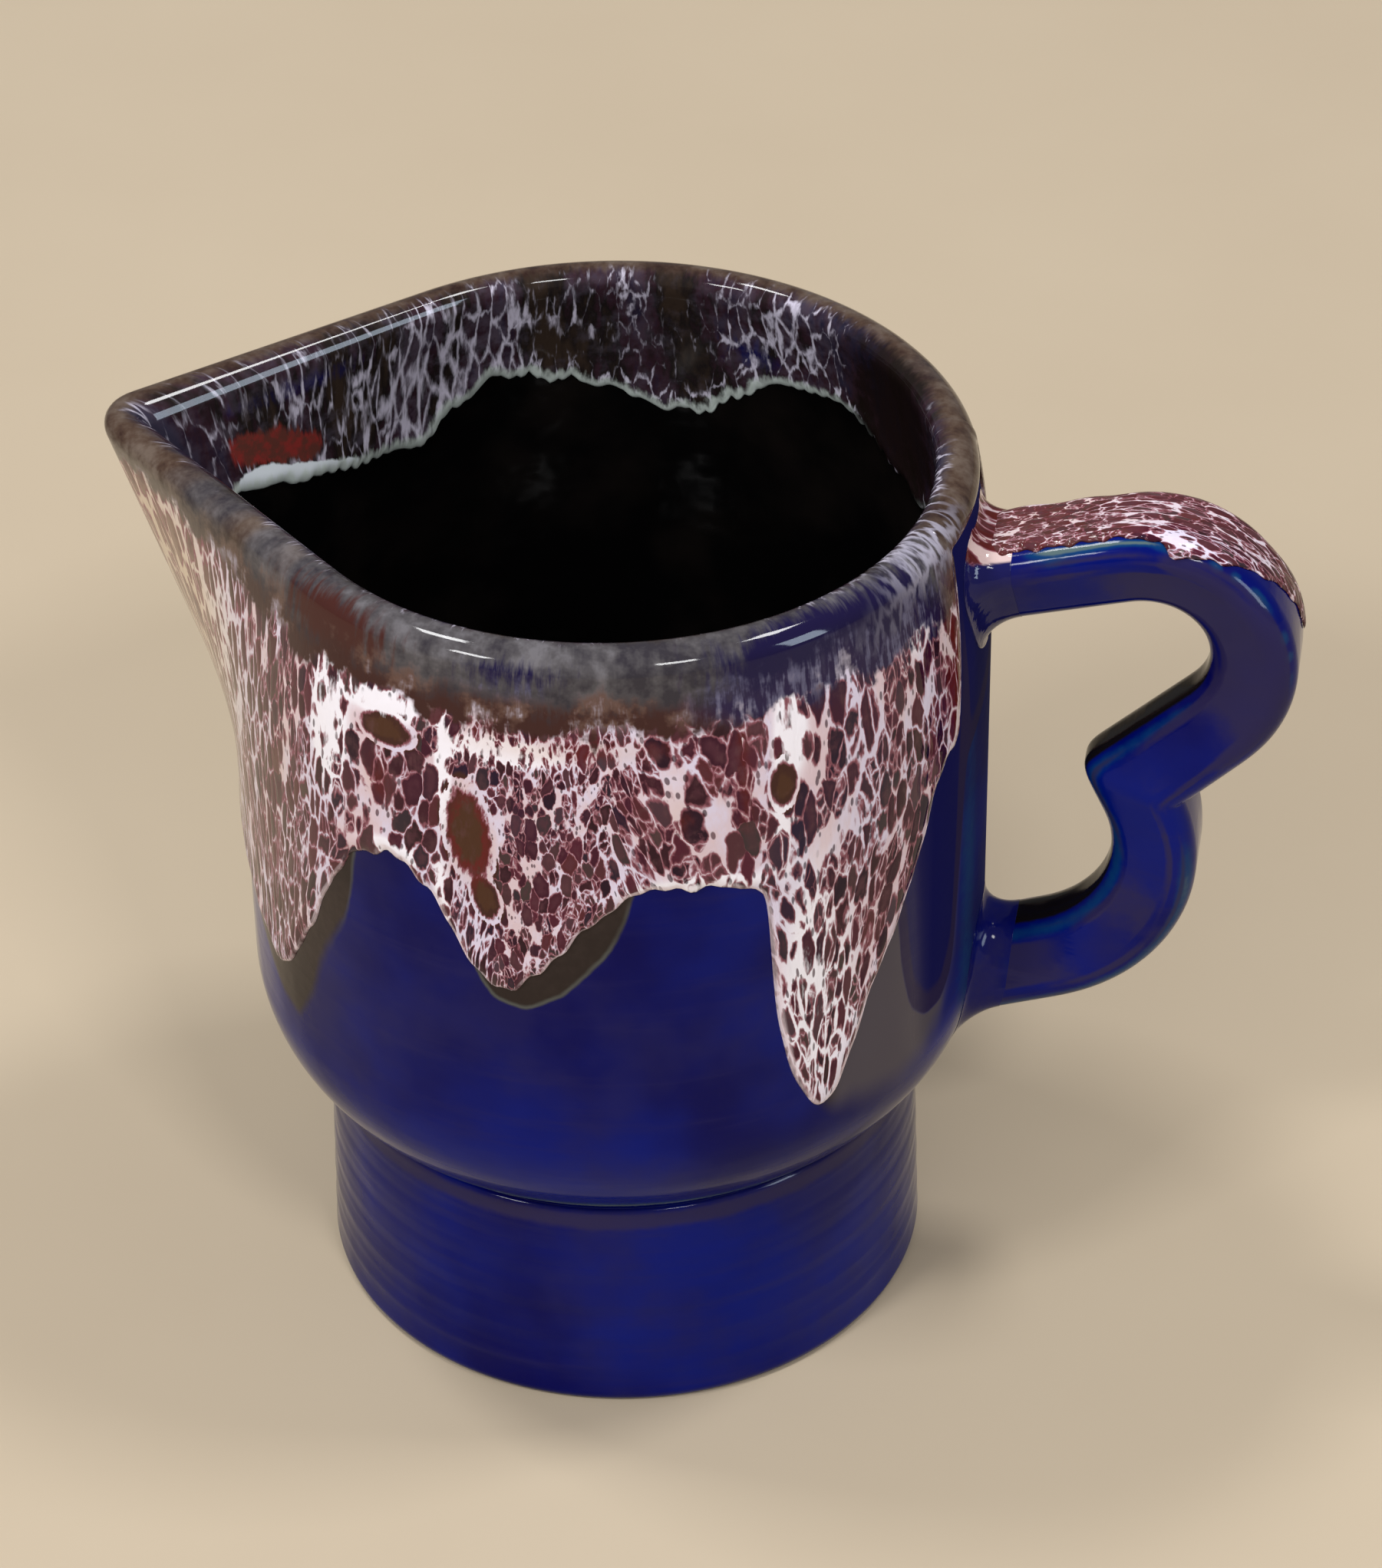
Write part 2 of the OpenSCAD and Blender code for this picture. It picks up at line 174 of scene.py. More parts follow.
class Finish:
    """A material that is written node by node."""

    def __init__(self, name):
        self.material = bpy.data.materials.new(name)
        self.material.use_nodes = True
        self.tree = self.material.node_tree
        self.tree.nodes.clear()

    def node(self, kind, settings=None, sockets=None, out=0):
        """A node of that type, with its settings made first, then the values or wires of its sockets."""
        node = self.tree.nodes.new(kind)
        for key, value in (settings or {}).items():
            if key == "stops":
                self.set_stops(node.color_ramp, value)
            else:
                setattr(node, key, value)
        for key, value in (sockets or {}).items():
            if isinstance(value, Wire):
                self.tree.links.new(value.socket, node.inputs[key])
            else:
                node.inputs[key].default_value = value
        return Wire(self, node.outputs[out]) if len(node.outputs) else None

    @staticmethod
    def set_stops(ramp, stops):
        """Colours of a ramp, each at its place between 0 and 1."""
        while len(ramp.elements) < len(stops):
            ramp.elements.new(1.0)
        for element, (place, colour) in zip(ramp.elements, stops):
            element.position = place
            element.color = (*colour, 1.0)

    def field(self, name, out="Fac"):
        """A field of values that the piece carries on its points."""
        return self.node("ShaderNodeAttribute", {"attribute_name": name}, out=out)

    def place(self):
        """The place on the piece, in metres of the jug's own frame."""
        return self.node("ShaderNodeTexCoord", out="Object")

    def stretch(self, vector, scale):
        """A vector with each of its three parts scaled."""
        return self.node("ShaderNodeVectorMath", {"operation": "MULTIPLY"}, {0: vector, 1: scale})

    def noise(self, vector, scale, detail=2.0, roughness=0.5, out="Fac"):
        """Soft noise at a place, about 0.5 on average."""
        sockets = {"Vector": vector, "Scale": scale, "Detail": detail, "Roughness": roughness}
        return self.node("ShaderNodeTexNoise", None, sockets, out)

    def bend(self, vector, scale, amount):
        """The vector moved about by noise of that scale, by up to half of the amount each way."""
        shift = self.noise(vector, scale, out="Color")
        middle = self.node("ShaderNodeVectorMath", {"operation": "SUBTRACT"}, {0: shift, 1: (0.5, 0.5, 0.5)})
        return self.node("ShaderNodeVectorMath", {"operation": "MULTIPLY_ADD"},
                         {0: middle, 1: (amount, amount, amount), 2: vector})

    def cells(self, vector, scale, to_border=False):
        """Distance from the middle of a Voronoi texture's cell, or from the border of the cell."""
        feature = "DISTANCE_TO_EDGE" if to_border else "F1"
        sockets = {"Vector": vector, "Scale": scale}
        return self.node("ShaderNodeTexVoronoi", {"feature": feature}, sockets, "Distance")

    def chances(self, cell):
        """Three chance values of each cell, as the outputs Red, Green and Blue."""
        return self.node("ShaderNodeSeparateColor", None, {0: cell.other("Color")})

    def rise(self, value, low, high):
        """0 below low, 1 above high, and smooth between; with low above high it falls instead."""
        sockets = {"Value": value, "From Min": low, "From Max": high}
        return self.node("ShaderNodeMapRange", {"interpolation_type": "SMOOTHSTEP"}, sockets)

    def mix(self, share, first, second):
        """The first colour, changed for the second by the share."""
        first = first if isinstance(first, Wire) else (*first, 1.0)
        second = second if isinstance(second, Wire) else (*second, 1.0)
        return self.node("ShaderNodeMix", {"data_type": "RGBA"}, {0: share, 6: first, 7: second}, 2)

    def ramp(self, value, stops):
        """A colour picked by a value."""
        return self.node("ShaderNodeValToRGB", {"stops": stops}, {0: value})

    def close(self, colour, roughness, relief=None, depth=0.0001, sheen=0.3):
        """Ends the finish: its colour, its roughness, a relief for the bump, and how strongly it mirrors."""
        sockets = {"Base Color": colour, "Roughness": roughness, "Specular IOR Level": sheen}
        if relief:
            sockets["Normal"] = self.node("ShaderNodeBump", None, {"Height": relief, "Distance": depth})
        shader = self.node("ShaderNodeBsdfPrincipled", None, sockets)
        self.node("ShaderNodeOutputMaterial", None, {"Surface": shader})
        return self.material


print("Finishes are written with Finish and Wire")

# %% [markdown]
# The bowl was thrown round and its spout was pulled out with a finger while the clay was soft. Seen from
# above, every level of it is a drop: a circle, a small nose circle further out, and two straight flanks
# that touch both. The nose comes out of the round slowly, so the spout has no crease at its foot.

# %% The form of the bowl
lip_r = bowl_r - 2.3
shoulder_z = lip_z - 23
belly_r = 19
belly_x = bowl_r - belly_r
inner_belly_r = belly_r - wall
seat_r = 35.4
throat_r = 31.7
outer_turn = math.acos((seat_r - belly_x) / belly_r)
inner_turn = math.acos((throat_r - belly_x) / inner_belly_r)
belly_z = join_z + belly_r * math.sin(outer_turn)
spout_reach = 58.7
spout_z = lip_z - 42
nose_r = 5.6
spout_ease = 2.5


def wall_r(z, depth):
    """Radius at a height, a depth into the wall: an arc, then upright, then drawn in by a square law."""
    arc = belly_x + np.sqrt(np.maximum(0, (belly_r - depth) ** 2 - np.minimum(0, z - belly_z) ** 2))
    drawn = (bowl_r - lip_r) * (np.maximum(0, z - shoulder_z) / (lip_z - shoulder_z)) ** 2
    return np.where(z < belly_z, arc, bowl_r - depth - drawn)


def spout_out(z):
    """How far the spout stands out of the round: a straight line, eased in over a few millimetres."""
    line = bowl_r + (spout_reach - bowl_r) * (z - spout_z) / (lip_z - spout_z) - wall_r(z, 0)
    eased = (line + spout_ease) ** 2 / (4 * spout_ease)
    return np.where(line > spout_ease, line, np.where(line < -spout_ease, 0, eased))


def drop_r(angle, circle, nose, out):
    """Radius of the drop at an angle from its nose: the nose circle, then a flank, then the main circle."""
    distance = circle - nose + out
    touch = np.arccos(np.clip((circle - nose) / distance, -1, 1))
    nose_end = np.arctan2(nose * np.sin(touch), distance + nose * np.cos(touch))
    turn = np.abs(angle)
    flank = circle / np.cos(np.clip(turn - touch, -1.5, 1.5))
    tip = distance * np.cos(turn) + np.sqrt(np.maximum(0, nose**2 - (distance * np.sin(turn)) ** 2))
    return np.where(turn > touch, circle, np.where(turn > nose_end, flank, tip))


def bowl_points(angle, z, depth):
    """Points of the bowl's wall. The angle counts in degrees from the spout, positive towards the front."""
    turn = np.radians(angle)
    r = drop_r(turn, wall_r(z, depth), nose_r - depth, spout_out(z))
    return np.stack([-r * np.cos(turn), -r * np.sin(turn), z + 0 * r], axis=-1)


def lip_round(turn, outside, inside):
    """Depth and height on the lip's half round, grown by one amount outside and another inside."""
    r = wall / 2 + outside + (inside - outside) * turn / 180
    return wall / 2 - r * np.cos(np.radians(turn)), lip_z + r * np.sin(np.radians(turn))


def columns_round(half, crowding=1.3):
    """Angles round the bowl, one end left out, crowded towards the spout by a power law."""
    k = np.arange(1 - half, half + 1)
    return np.sign(k) * 180 * (np.abs(k) / half) ** crowding


print(f"Belly centre at radius {belly_x:.1f}, height {belly_z:.1f} mm")

# %% [markdown]
# The mottled glaze was poured over the rim and ran down in long tongues. Its lower edge is a curve round
# the bowl, given by a few measured points: the tip and the sides of each tongue. Between them the curve
# is smoothed, and a small seeded wobble keeps it from looking drawn. Two helpers, a bell curve and a
# straight fade, serve all through the script to say where something lies.

# %% The lower edges of the mottled glaze
# Each point: angle from the spout, depth below the lip
edge_points = np.array([
    (-163, 25), (-152, 38), (-145, 53), (-139, 58), (-133, 52), (-125, 33), (-116, 28), (-106, 32),
    (-98, 50), (-92, 55), (-86, 48), (-78, 33), (-68, 27), (-58, 30), (-48, 42), (-42, 47), (-35, 42),
    (-25, 34), (-12, 36), (0, 42), (20, 48), (38, 57), (46, 48), (53, 37), (58, 30), (67, 27), (74, 32),
    (79, 41), (84, 43.5), (89, 40), (96, 33), (104, 27.4), (121, 29), (123, 31), (124, 48), (127, 60),
    (131, 66), (136, 62), (140, 52), (147, 43), (152, 35), (157, 26), (163, 24)])
inner_edge_points = np.array([
    (-145, 17), (-125, 11), (-110, 12), (-98, 17), (-89, 19), (-78, 14.6), (-60, 11.5), (-53, 13.6),
    (-44, 19), (-29, 17), (-17, 15.2), (-10, 13), (10, 14), (60, 18), (100, 15), (140, 18)])
fine_step = 0.25
fine_angle = np.arange(-180, 180, fine_step)
closed_angle = np.append(fine_angle, 180)
fine_arc = np.radians(fine_step) * bowl_r
steep_angle, steep_half = 123.5, 2.5
notch_start, notch_rise, notch_depth = 165.3, 3.0, 0.6


def bell(value, middle, half):
    """A bell curve, one at the middle: the power of e with minus the square of the distance in halves."""
    return np.exp(-(((value - middle) / half) ** 2))


def fade(value, start, length):
    """0 up to the start, then a straight rise to 1 over the length; a negative length rises downwards."""
    return np.clip((value - start) / length, 0, 1)


def smoothed(values, spread):
    """Values round the bowl, averaged with a bell curve that is spread over so many degrees."""
    reach = np.arange(-12 * spread, 12 * spread + fine_step, fine_step)
    weight = np.exp(-0.5 * (reach / spread) ** 2)
    half = len(reach) // 2
    padded = np.concatenate([values[-half:], values, values[:half]])
    return np.convolve(padded, weight / weight.sum(), mode="valid")[:len(values)]


def measured(points, spread):
    """A measured edge at every fine angle, smoothed."""
    return smoothed(np.interp(fine_angle, *points.T, period=360), spread)


def wobble(seed, low, high, count):
    """A sum of sine waves round the bowl with seeded phases, about one in height."""
    dice = np.random.default_rng(seed)
    waves = dice.integers(low, high, count)[:, None]
    phase = dice.uniform(0, 2 * np.pi, count)[:, None]
    return np.sum(np.sin(waves * np.radians(fine_angle) + phase), axis=0) / math.sqrt(count)


def edge_at(angle, edge):
    """Depth of an edge below the lip, at any angle."""
    return np.interp(angle, fine_angle, edge, period=360)


steep = bell(fine_angle, steep_angle, steep_half)
outer_edge = measured(edge_points, 1.6) * (1 - steep) + measured(edge_points, 0.5) * steep
outer_edge = outer_edge + 0.3 * wobble(3, 40, 110, 9)
past_notch = fade(np.abs(fine_angle), notch_start - notch_rise, notch_rise)
outer_edge = outer_edge + (notch_depth - outer_edge) * past_notch
wide_scallops = 1.2 * np.sqrt(wobble(5, 10, 36, 8) ** 2 + 0.1)
fine_scallops = 0.6 * np.sqrt(wobble(11, 60, 92, 6) ** 2 + 0.05)
inner_edge = measured(inner_edge_points, 2.0) - 1.2 + wide_scallops + fine_scallops
shortest = outer_edge[past_notch == 0].min()
print(f"Longest tongue {outer_edge.max():.1f} mm, shortest run {shortest:.1f} mm")

# %% [markdown]
# Cobalt gives the deep blue of the clay coat. Where the clear part of the mottled glaze crept past the
# tongues it stained the blue to a smoky brown with a thin pale line at its rim. Fields on the points say
# where: stain and pool are distances inside an edge, and soft blurs the stain's edge and, where it is
# high, turns the stain to a painted grey reflection. The pool is a dark pool of glaze whose deepest navy
# is painted shade from the handle. Thin is a glaze drawn pale over an edge, and on the bowl it also paints
# a pale highlight and a pale reflection. Haze is a milky bloom, and a pale line on the foot; shade is
# painted shade on a dark inner side; and matt takes the gloss away.

# %% Cobalt glaze


def cobalt_finish():
    """Blue with clouds and streaks, a brown stain, pooled glaze, paler edges, and painted shade, highlights
    and reflections.
    """
    f = Finish("cobalt_finish")
    place = f.place()
    cloud = f.noise(place, 38.0, 3.0)
    violet = f.noise(place, 62.0, 3.0, 0.6)
    level = f.noise(f.stretch(place, (35.0, 35.0, 380.0)), 1.0, 3.0, 0.6)
    speck = f.noise(place, 900.0, 2.0)
    blue = f.mix(f.rise(cloud, 0.33, 0.65), (0.0002, 0.0003, 0.070), (0.0006, 0.0066, 0.158))
    blue = f.mix(f.rise(violet, 0.44, 0.7) * 0.6, blue, (0.011, 0.010, 0.085))
    blue = f.mix(f.rise(level, 0.52, 0.8) * 0.45, blue, (0.014, 0.012, 0.088))

    # Paler blue where the glaze is thin, and on the bowl a painted highlight and a painted reflection
    thin = f.field("thin") + speck.sway(0.3) + cloud.sway(0.9)
    blue = f.mix(f.rise(thin, 0.25, 0.8) * 0.85, blue, (0.003, 0.042, 0.140))
    blue = f.mix(f.rise(thin, 0.8, 1.25) * 0.85, blue, (0.10, 0.15, 0.145))
    haze = f.field("haze") + violet.sway(0.9) + speck.sway(0.3)
    blue = f.mix(f.rise(haze, 0.2, 0.9) * 0.75, blue, (0.027, 0.021, 0.064))

    # A field that a piece doesn't carry reads nought, so the bowl stores these two with one added
    pool = f.field("pool") - 1.0 + cloud.sway(1.0)
    in_pool_and_shade = f.rise(pool, 0.0, 0.5)
    # Pooled glaze: its purple rim is the glaze, and its deepest navy is painted shade from the handle
    blue = f.mix(in_pool_and_shade, blue, (0.014, 0.008, 0.050))
    blue = f.mix(f.rise(pool, 2.6, 4.0), blue, (0.0001, 0.0001, 0.068))
    stain = f.field("stain") - 1.0 + f.noise(place, 260.0, 2.0).sway(0.8)
    soft = f.field("soft")
    inside = f.rise(stain, 0.1, soft * 1.4 + 0.6) * (1.0 - in_pool_and_shade)
    line = inside * f.rise(stain, 1.1, 0.5) * f.rise(violet, 0.3, 0.6) * (1.0 - soft.least(1.0))
    smoke = f.mix(f.rise(cloud + speck * 0.2, 0.45, 0.75), (0.026, 0.018, 0.016), (0.048, 0.034, 0.030))
    # Where soft is high, beside the handle, the stain turns grey as a painted reflection
    smoke = f.mix(f.rise(soft, 1.0, 3.0), smoke, (0.072, 0.062, 0.080))
    colour = f.mix(inside, blue, smoke)
    colour = f.mix(line * 0.6, colour, (0.12, 0.13, 0.12))
    # Painted shade: the inner face of the handle is darkened nearly to black
    shade = f.rise(f.field("shade") + speck.sway(0.3), 0.2, 0.8)
    colour = f.mix(shade, colour, (0.006, 0.0045, 0.005))
    roughness = 0.07 + speck * 0.04 + f.field("matt") * 0.9
    relief = f.noise(place, 130.0, 2.0) + level * 0.3
    return f.close(colour, roughness, relief, 0.00016, sheen=0.12)


cobalt = cobalt_finish()
print("Finish:", cobalt.name, len(cobalt.node_tree.nodes), "nodes")

# %% [markdown]
# The mottled glaze boiled as it ran: pale foam drew a net round darker bubbles. A Voronoi texture is such
# a net. It is read in the glaze's own coordinates, which count bubbles round the bowl and down the run,
# so the bubbles can be fine in one tongue and long in another without a seam. A finer net parts some
# bubbles again, and the field blob sets in a few large ones.

# %% Foam of the mottled glaze


def bubble_net(f, place, tone, has):
    """How far a point lies inside its bubble, below zero in the net between; the border; three chances."""
    bent = f.bend(f.bend(f.bend(place, 0.5, 1.0), 1.8, 0.36), 4.5, 0.12)
    near = f.cells(bent, 1.0)
    border = f.cells(bent, 1.0, to_border=True)
    chance = f.chances(near)
    width = 0.03 + tone.slow.sway(0.36) + has.milk * 0.22 + tone.grain.sway(0.2)
    inset = (border - width).least(chance.other("Green") * 0.25 + 0.56 - has.milk * 0.2 - near)
    fine = f.cells(bent, 1.55, to_border=True) * 0.64 - 0.03 - tone.grain.sway(0.2)
    inset = inset.least(fine + f.rise(chance.other("Blue"), 0.66, 0.62))
    inset = inset + ((has.blob - 0.5) * 0.6 - inset) * f.rise(has.blob, 0.18, 0.3)
    return inset, border, chance


def bubble_colour(f, tone, has, inset, chance):
    """Plum and maroon by chance, tinted by the fields; large ones get a dark red ring and a brown heart."""
    dark = f.ramp(chance, [
        (0.0, (0.010, 0.003, 0.012)), (0.18, (0.056, 0.007, 0.022)), (0.36, (0.020, 0.006, 0.010)),
        (0.5, (0.082, 0.011, 0.028)), (0.64, (0.050, 0.034, 0.034)), (0.76, (0.015, 0.005, 0.022)),
        (0.88, (0.090, 0.018, 0.024)), (1.0, (0.056, 0.036, 0.052))])
    dark = f.mix(f.rise(has.navy, 0.2, 0.8) * 0.7, dark, (0.018, 0.010, 0.036))
    dark = f.mix(has.pale * 0.85, dark, (0.35, 0.24, 0.18))
    dark = f.mix(f.rise(has.ember + tone.grain.sway(0.8), 0.25, 0.9), dark, (0.105, 0.011, 0.009))
    ring = f.mix(f.rise(has.ember, 0.2, 0.6), (0.050, 0.016, 0.012), (0.115, 0.013, 0.012))
    heart = f.mix(f.rise(has.blob + tone.patch.sway(0.8), 0.7, 0.95), ring, (0.068, 0.026, 0.013))
    dark = f.mix(f.rise(has.blob, 0.1, 0.2), dark, heart)
    glow = f.rise(inset + tone.patch.sway(0.5), 0.06, 0.36) * f.rise(has.blob, 0.2, 0.1)
    glow = glow * f.rise(chance.other("Green"), 0.3, 0.7) * 0.5
    dark = f.mix(glow, dark, (0.10, 0.030, 0.046))
    bloom = f.rise(tone.patch + tone.feather.sway(0.6), 0.5, 0.75) * 0.4
    return f.mix(bloom, dark, (0.115, 0.048, 0.055))


def foam_colour(f, tone, has, inset, dark, droplet):
    """White net, rose rings inside it, dark bubbles and droplets, white where milk pools, a pale shore."""
    white = f.mix(f.rise(tone.slow + tone.grain.sway(0.4), 0.36, 0.6),
                  (0.70, 0.55, 0.61), (0.71, 0.65, 0.82))
    white = f.mix(f.rise(has.milk, 0.05, 0.4), white, (0.92, 0.90, 1.0))
    white = f.mix(has.pale, white, (0.72, 0.59, 0.45))
    white = f.mix(f.rise(has.ember, 0.1, 0.8) * 0.5, white, (0.62, 0.44, 0.36))
    foam = f.mix(f.rise(inset, -0.06, 0.015), white, (0.27, 0.09, 0.12))
    foam = f.mix(f.rise(inset, -0.005, 0.075), foam, dark)
    foam = f.mix(droplet, foam, dark)
    flow = has.milk + tone.grain.sway(1.0) + tone.feather.sway(0.8)
    foam = f.mix(f.rise(flow, 0.55, 0.9), foam, white)
    shore = f.rise(has.shore + tone.grain.sway(0.5) - has.milk, 0.60, 0.28)
    shore = shore * f.rise(tone.slow + tone.grain.sway(0.6), 0.3, 0.6) * 0.7
    return f.mix(shore, foam, (0.74, 0.62, 0.68))


print("Foam: a net, its bubbles and its whites")

# %% [markdown]
# At the rim the glaze is too thin to foam and leaves a smoky band, and inside the lip it lies dark over
# the black. Fields place their patches: navy, warm for brown, which by the spout is partly a painted
# reflection of brown surroundings, ember for red, lace for pale threads, and milk for white pools. The
# foam begins at a ragged line below the rim, sooner where the fields milk or pale are high.

# %% Mottled glaze
from types import SimpleNamespace


def rim_colour(f, tone, has, border):
    """Smoky band at the rim: grey in front, brown behind, navy and maroon patches, and pale threads."""
    shade = tone.slow * 0.45 + tone.patch * 0.55 + tone.feather.sway(0.12)
    grey = f.ramp(shade, [
        (0.38, (0.034, 0.030, 0.038)), (0.5, (0.078, 0.072, 0.078)), (0.62, (0.14, 0.132, 0.145))])
    brown = f.ramp(shade, [
        (0.38, (0.028, 0.013, 0.011)), (0.5, (0.070, 0.043, 0.031)), (0.62, (0.12, 0.088, 0.070))])
    # Warm browns the band; by the spout the brown is partly a painted reflection
    smoke = f.mix(f.rise(has.warm + tone.slow.sway(1.6), 0.25, 0.75), grey, brown)
    smoke = f.mix(f.rise(has.navy + tone.feather.sway(1.2), 0.15, 0.7), smoke, (0.010, 0.007, 0.042))
    smoke = f.mix(f.rise(has.ember + tone.feather.sway(1.2), 0.15, 0.7), smoke, (0.058, 0.018, 0.015))
    thread = f.rise(border + tone.grain.sway(0.5), 0.22, 0.0) * f.rise(has.lace, 0.2, 0.7)
    return f.mix(thread * 0.85, smoke, (0.46, 0.44, 0.56))


def inner_colour(f, tone, has, border):
    """Dark inner band: brown, plum and navy under lilac threads, a red patch, white pools, a pale edge."""
    deep = f.ramp(tone.slow + tone.grain.sway(0.4), [
        (0.3, (0.034, 0.022, 0.016)), (0.44, (0.012, 0.009, 0.009)),
        (0.54, (0.032, 0.014, 0.021)), (0.7, (0.013, 0.012, 0.030))])
    burnt = f.rise(has.lace + tone.patch.sway(1.2), -0.1, -0.6) * 0.85
    deep = f.mix(burnt, deep, (0.010, 0.006, 0.005))
    deep = f.mix(f.rise(has.navy + tone.grain.sway(0.8), 0.3, 0.8), deep, (0.006, 0.008, 0.075))
    veil = f.rise(tone.patch + tone.slow.sway(0.6), 0.4, 0.7) * f.rise(has.lace, -0.5, 0.6) * 0.35
    night = f.mix(veil, deep, (0.16, 0.135, 0.19))
    thread = f.rise(border + tone.grain.sway(0.5), 0.08 + has.lace * 0.17, -0.05)
    roots = f.rise(has.shore, 5.0, 1.0) * 0.35
    vein = thread * f.rise(tone.slow + tone.feather.sway(0.9) + has.lace * 0.7 + roots, 0.42, 0.72)
    night = f.mix(vein * 0.85, night, (0.66, 0.62, 0.76))
    red = f.mix(f.rise(tone.patch, 0.4, 0.62), (0.24, 0.028, 0.025), (0.11, 0.034, 0.026))
    night = f.mix(f.rise(has.ember + tone.feather.sway(1.5), 0.35, 0.75), night, red)
    night = f.mix(f.rise(has.milk + tone.grain.sway(0.5), 0.45, 0.65), night, (0.74, 0.80, 0.86))
    edge = f.rise(has.shore + tone.grain.sway(2.8) - has.lace.least(1.0) * 0.5, 1.9, 0.6)
    return f.mix(edge * f.rise(has.lace, -0.5, -0.1) * 0.9, night, (0.62, 0.70, 0.66))


def fringe_colour(f, tone, has, ragged):
    """Between rim and foam: maroon to brown, plumes in the navy, mist by the foam, warm grey by the spout."""
    fringe = f.mix(f.rise(tone.slow + tone.patch.sway(0.9), 0.42, 0.62),
                   (0.046, 0.016, 0.014), (0.115, 0.062, 0.048))
    plume = f.mix(f.rise(tone.feather + tone.patch.sway(0.5), 0.44, 0.62),
                  (0.020, 0.012, 0.050), (0.11, 0.105, 0.18))
    fringe = f.mix(f.rise(has.navy, 0.02, 0.3), fringe, plume)
    mist = f.rise(tone.patch + tone.feather.sway(0.8) + tone.slow.sway(1.2), 0.5, 0.85)
    fringe = f.mix(mist * f.rise(ragged, 3.4, 6.0) * 0.7, fringe, (0.40, 0.36, 0.43))
    return f.mix(has.pale * 0.9, fringe, (0.19, 0.172, 0.145))


def mottled_finish():
    """Foam below, a smoky band at the rim with a ragged lower edge, the dark inner band, and bare blue."""
    f = Finish("mottled_finish")
    place = f.field("cells", "Vector")
    names = "run shore milk ember navy pale lace blob warm within bare"
    has = SimpleNamespace(**{name: f.field(name) for name in names.split()})
    tone = SimpleNamespace(
        slow=f.noise(place, 0.20, 2.0), grain=f.noise(place, 1.7, 3.0, 0.6),
        patch=f.noise(f.place(), 420.0, 3.0, 0.6),
        feather=f.noise(f.stretch(place, (1.9, 1.9, 0.8)), 1.0, 3.0, 0.65))
    has.blob = has.blob + tone.grain.sway(0.7) * f.rise(has.blob, 0.0, 0.5)
    inset, border, chance = bubble_net(f, place, tone, has)
    small = f.cells(place, 2.9)
    droplet = f.rise(small, 0.42, 0.28) * f.rise(f.chances(small), 0.5, 0.56)
    droplet = droplet * f.rise(has.milk, 1.0, 0.55) * 0.8
    dark = bubble_colour(f, tone, has, inset, chance)
    foam = foam_colour(f, tone, has, inset, dark, droplet)

    ragged = has.run + tone.slow.sway(7.0) + tone.feather.sway(3.5) + tone.patch.sway(7.0)
    ragged = ragged + has.milk * 4.0 + has.pale * 5.0
    outside = f.mix(f.rise(ragged, 5.4, 7.4), fringe_colour(f, tone, has, ragged), foam)
    outside = f.mix(f.rise(ragged, 0.6, 4.2), rim_colour(f, tone, has, border), outside)
    within = f.rise(has.within + tone.feather.sway(0.9), 0.2, 0.8)
    colour = f.mix(within, outside, inner_colour(f, tone, has, border))
    bare = f.rise(has.bare + tone.grain.sway(0.5), 0.4, 0.6)
    colour = f.mix(bare, colour, (0.010, 0.010, 0.084))
    relief = (border.least(0.35) * 0.9 + tone.grain * 0.3) * f.rise(ragged, 1.0, 8.0)
    return f.close(colour, 0.06, relief, 0.00011, sheen=0.19)


mottled = mottled_finish()
print("Finish:", mottled.name, len(mottled.node_tree.nodes), "nodes")

# %% [markdown]
# Inside, a black glaze covers everything. Its only colour is a breath of brown and the light on it.

# %% Black glaze


def black_finish():
    """Near black with a faint brown cloud and a soft ripple."""
    f = Finish("black_finish")
    place = f.place()
    cloud = f.noise(place, 70.0, 3.0)
    colour = f.mix(f.rise(cloud, 0.4, 0.75), (0.0015, 0.0014, 0.0015), (0.006, 0.0045, 0.004))
    return f.close(colour, 0.08 + cloud * 0.06, f.noise(place, 120.0, 2.0), 0.0003, sheen=0.25)


black = black_finish()
print("Finish:", black.name)

# %% [markdown]
# The foot was thrown as a low cup, so it is a profile turned about the jug's axis. A thrown wall keeps
# faint rings from the fingers, which show as level streaks in the gloss, so the profile carries a small
# ripple. One field, haze, makes a pale line just under the top.

# %% Foot
foot_top_r = 36.3
foot_edge, foot_top_edge = 1.5, 0.9
floor_t, floor_corner = 5.0, 5.0
# Each set of rings: height, radians per millimetre, phase
ring_waves = [(0.035, 1.13, 2.0), (0.022, 2.57, 0.0), (0.011, 4.9, 1.0)]
ring_inset, ring_fade = 0.08, 2


def quarter(centre, radius, start, end, steps=8):
    """Points of an arc from one angle to another, in degrees, as radius and height."""
    turn = np.radians(np.linspace(start, end, steps))
    return np.stack([centre[0] + radius * np.cos(turn), centre[1] + radius * np.sin(turn)], axis=-1)


def turned(profile, angle=np.arange(360)):
    """A profile of radius and height carried round the axis, to angles in degrees from the spout."""
    turn = np.radians(angle)
    r, z = profile[:, :1], profile[:, 1:]
    return np.stack([-r * np.cos(turn), -r * np.sin(turn), z + 0 * turn], axis=-1)


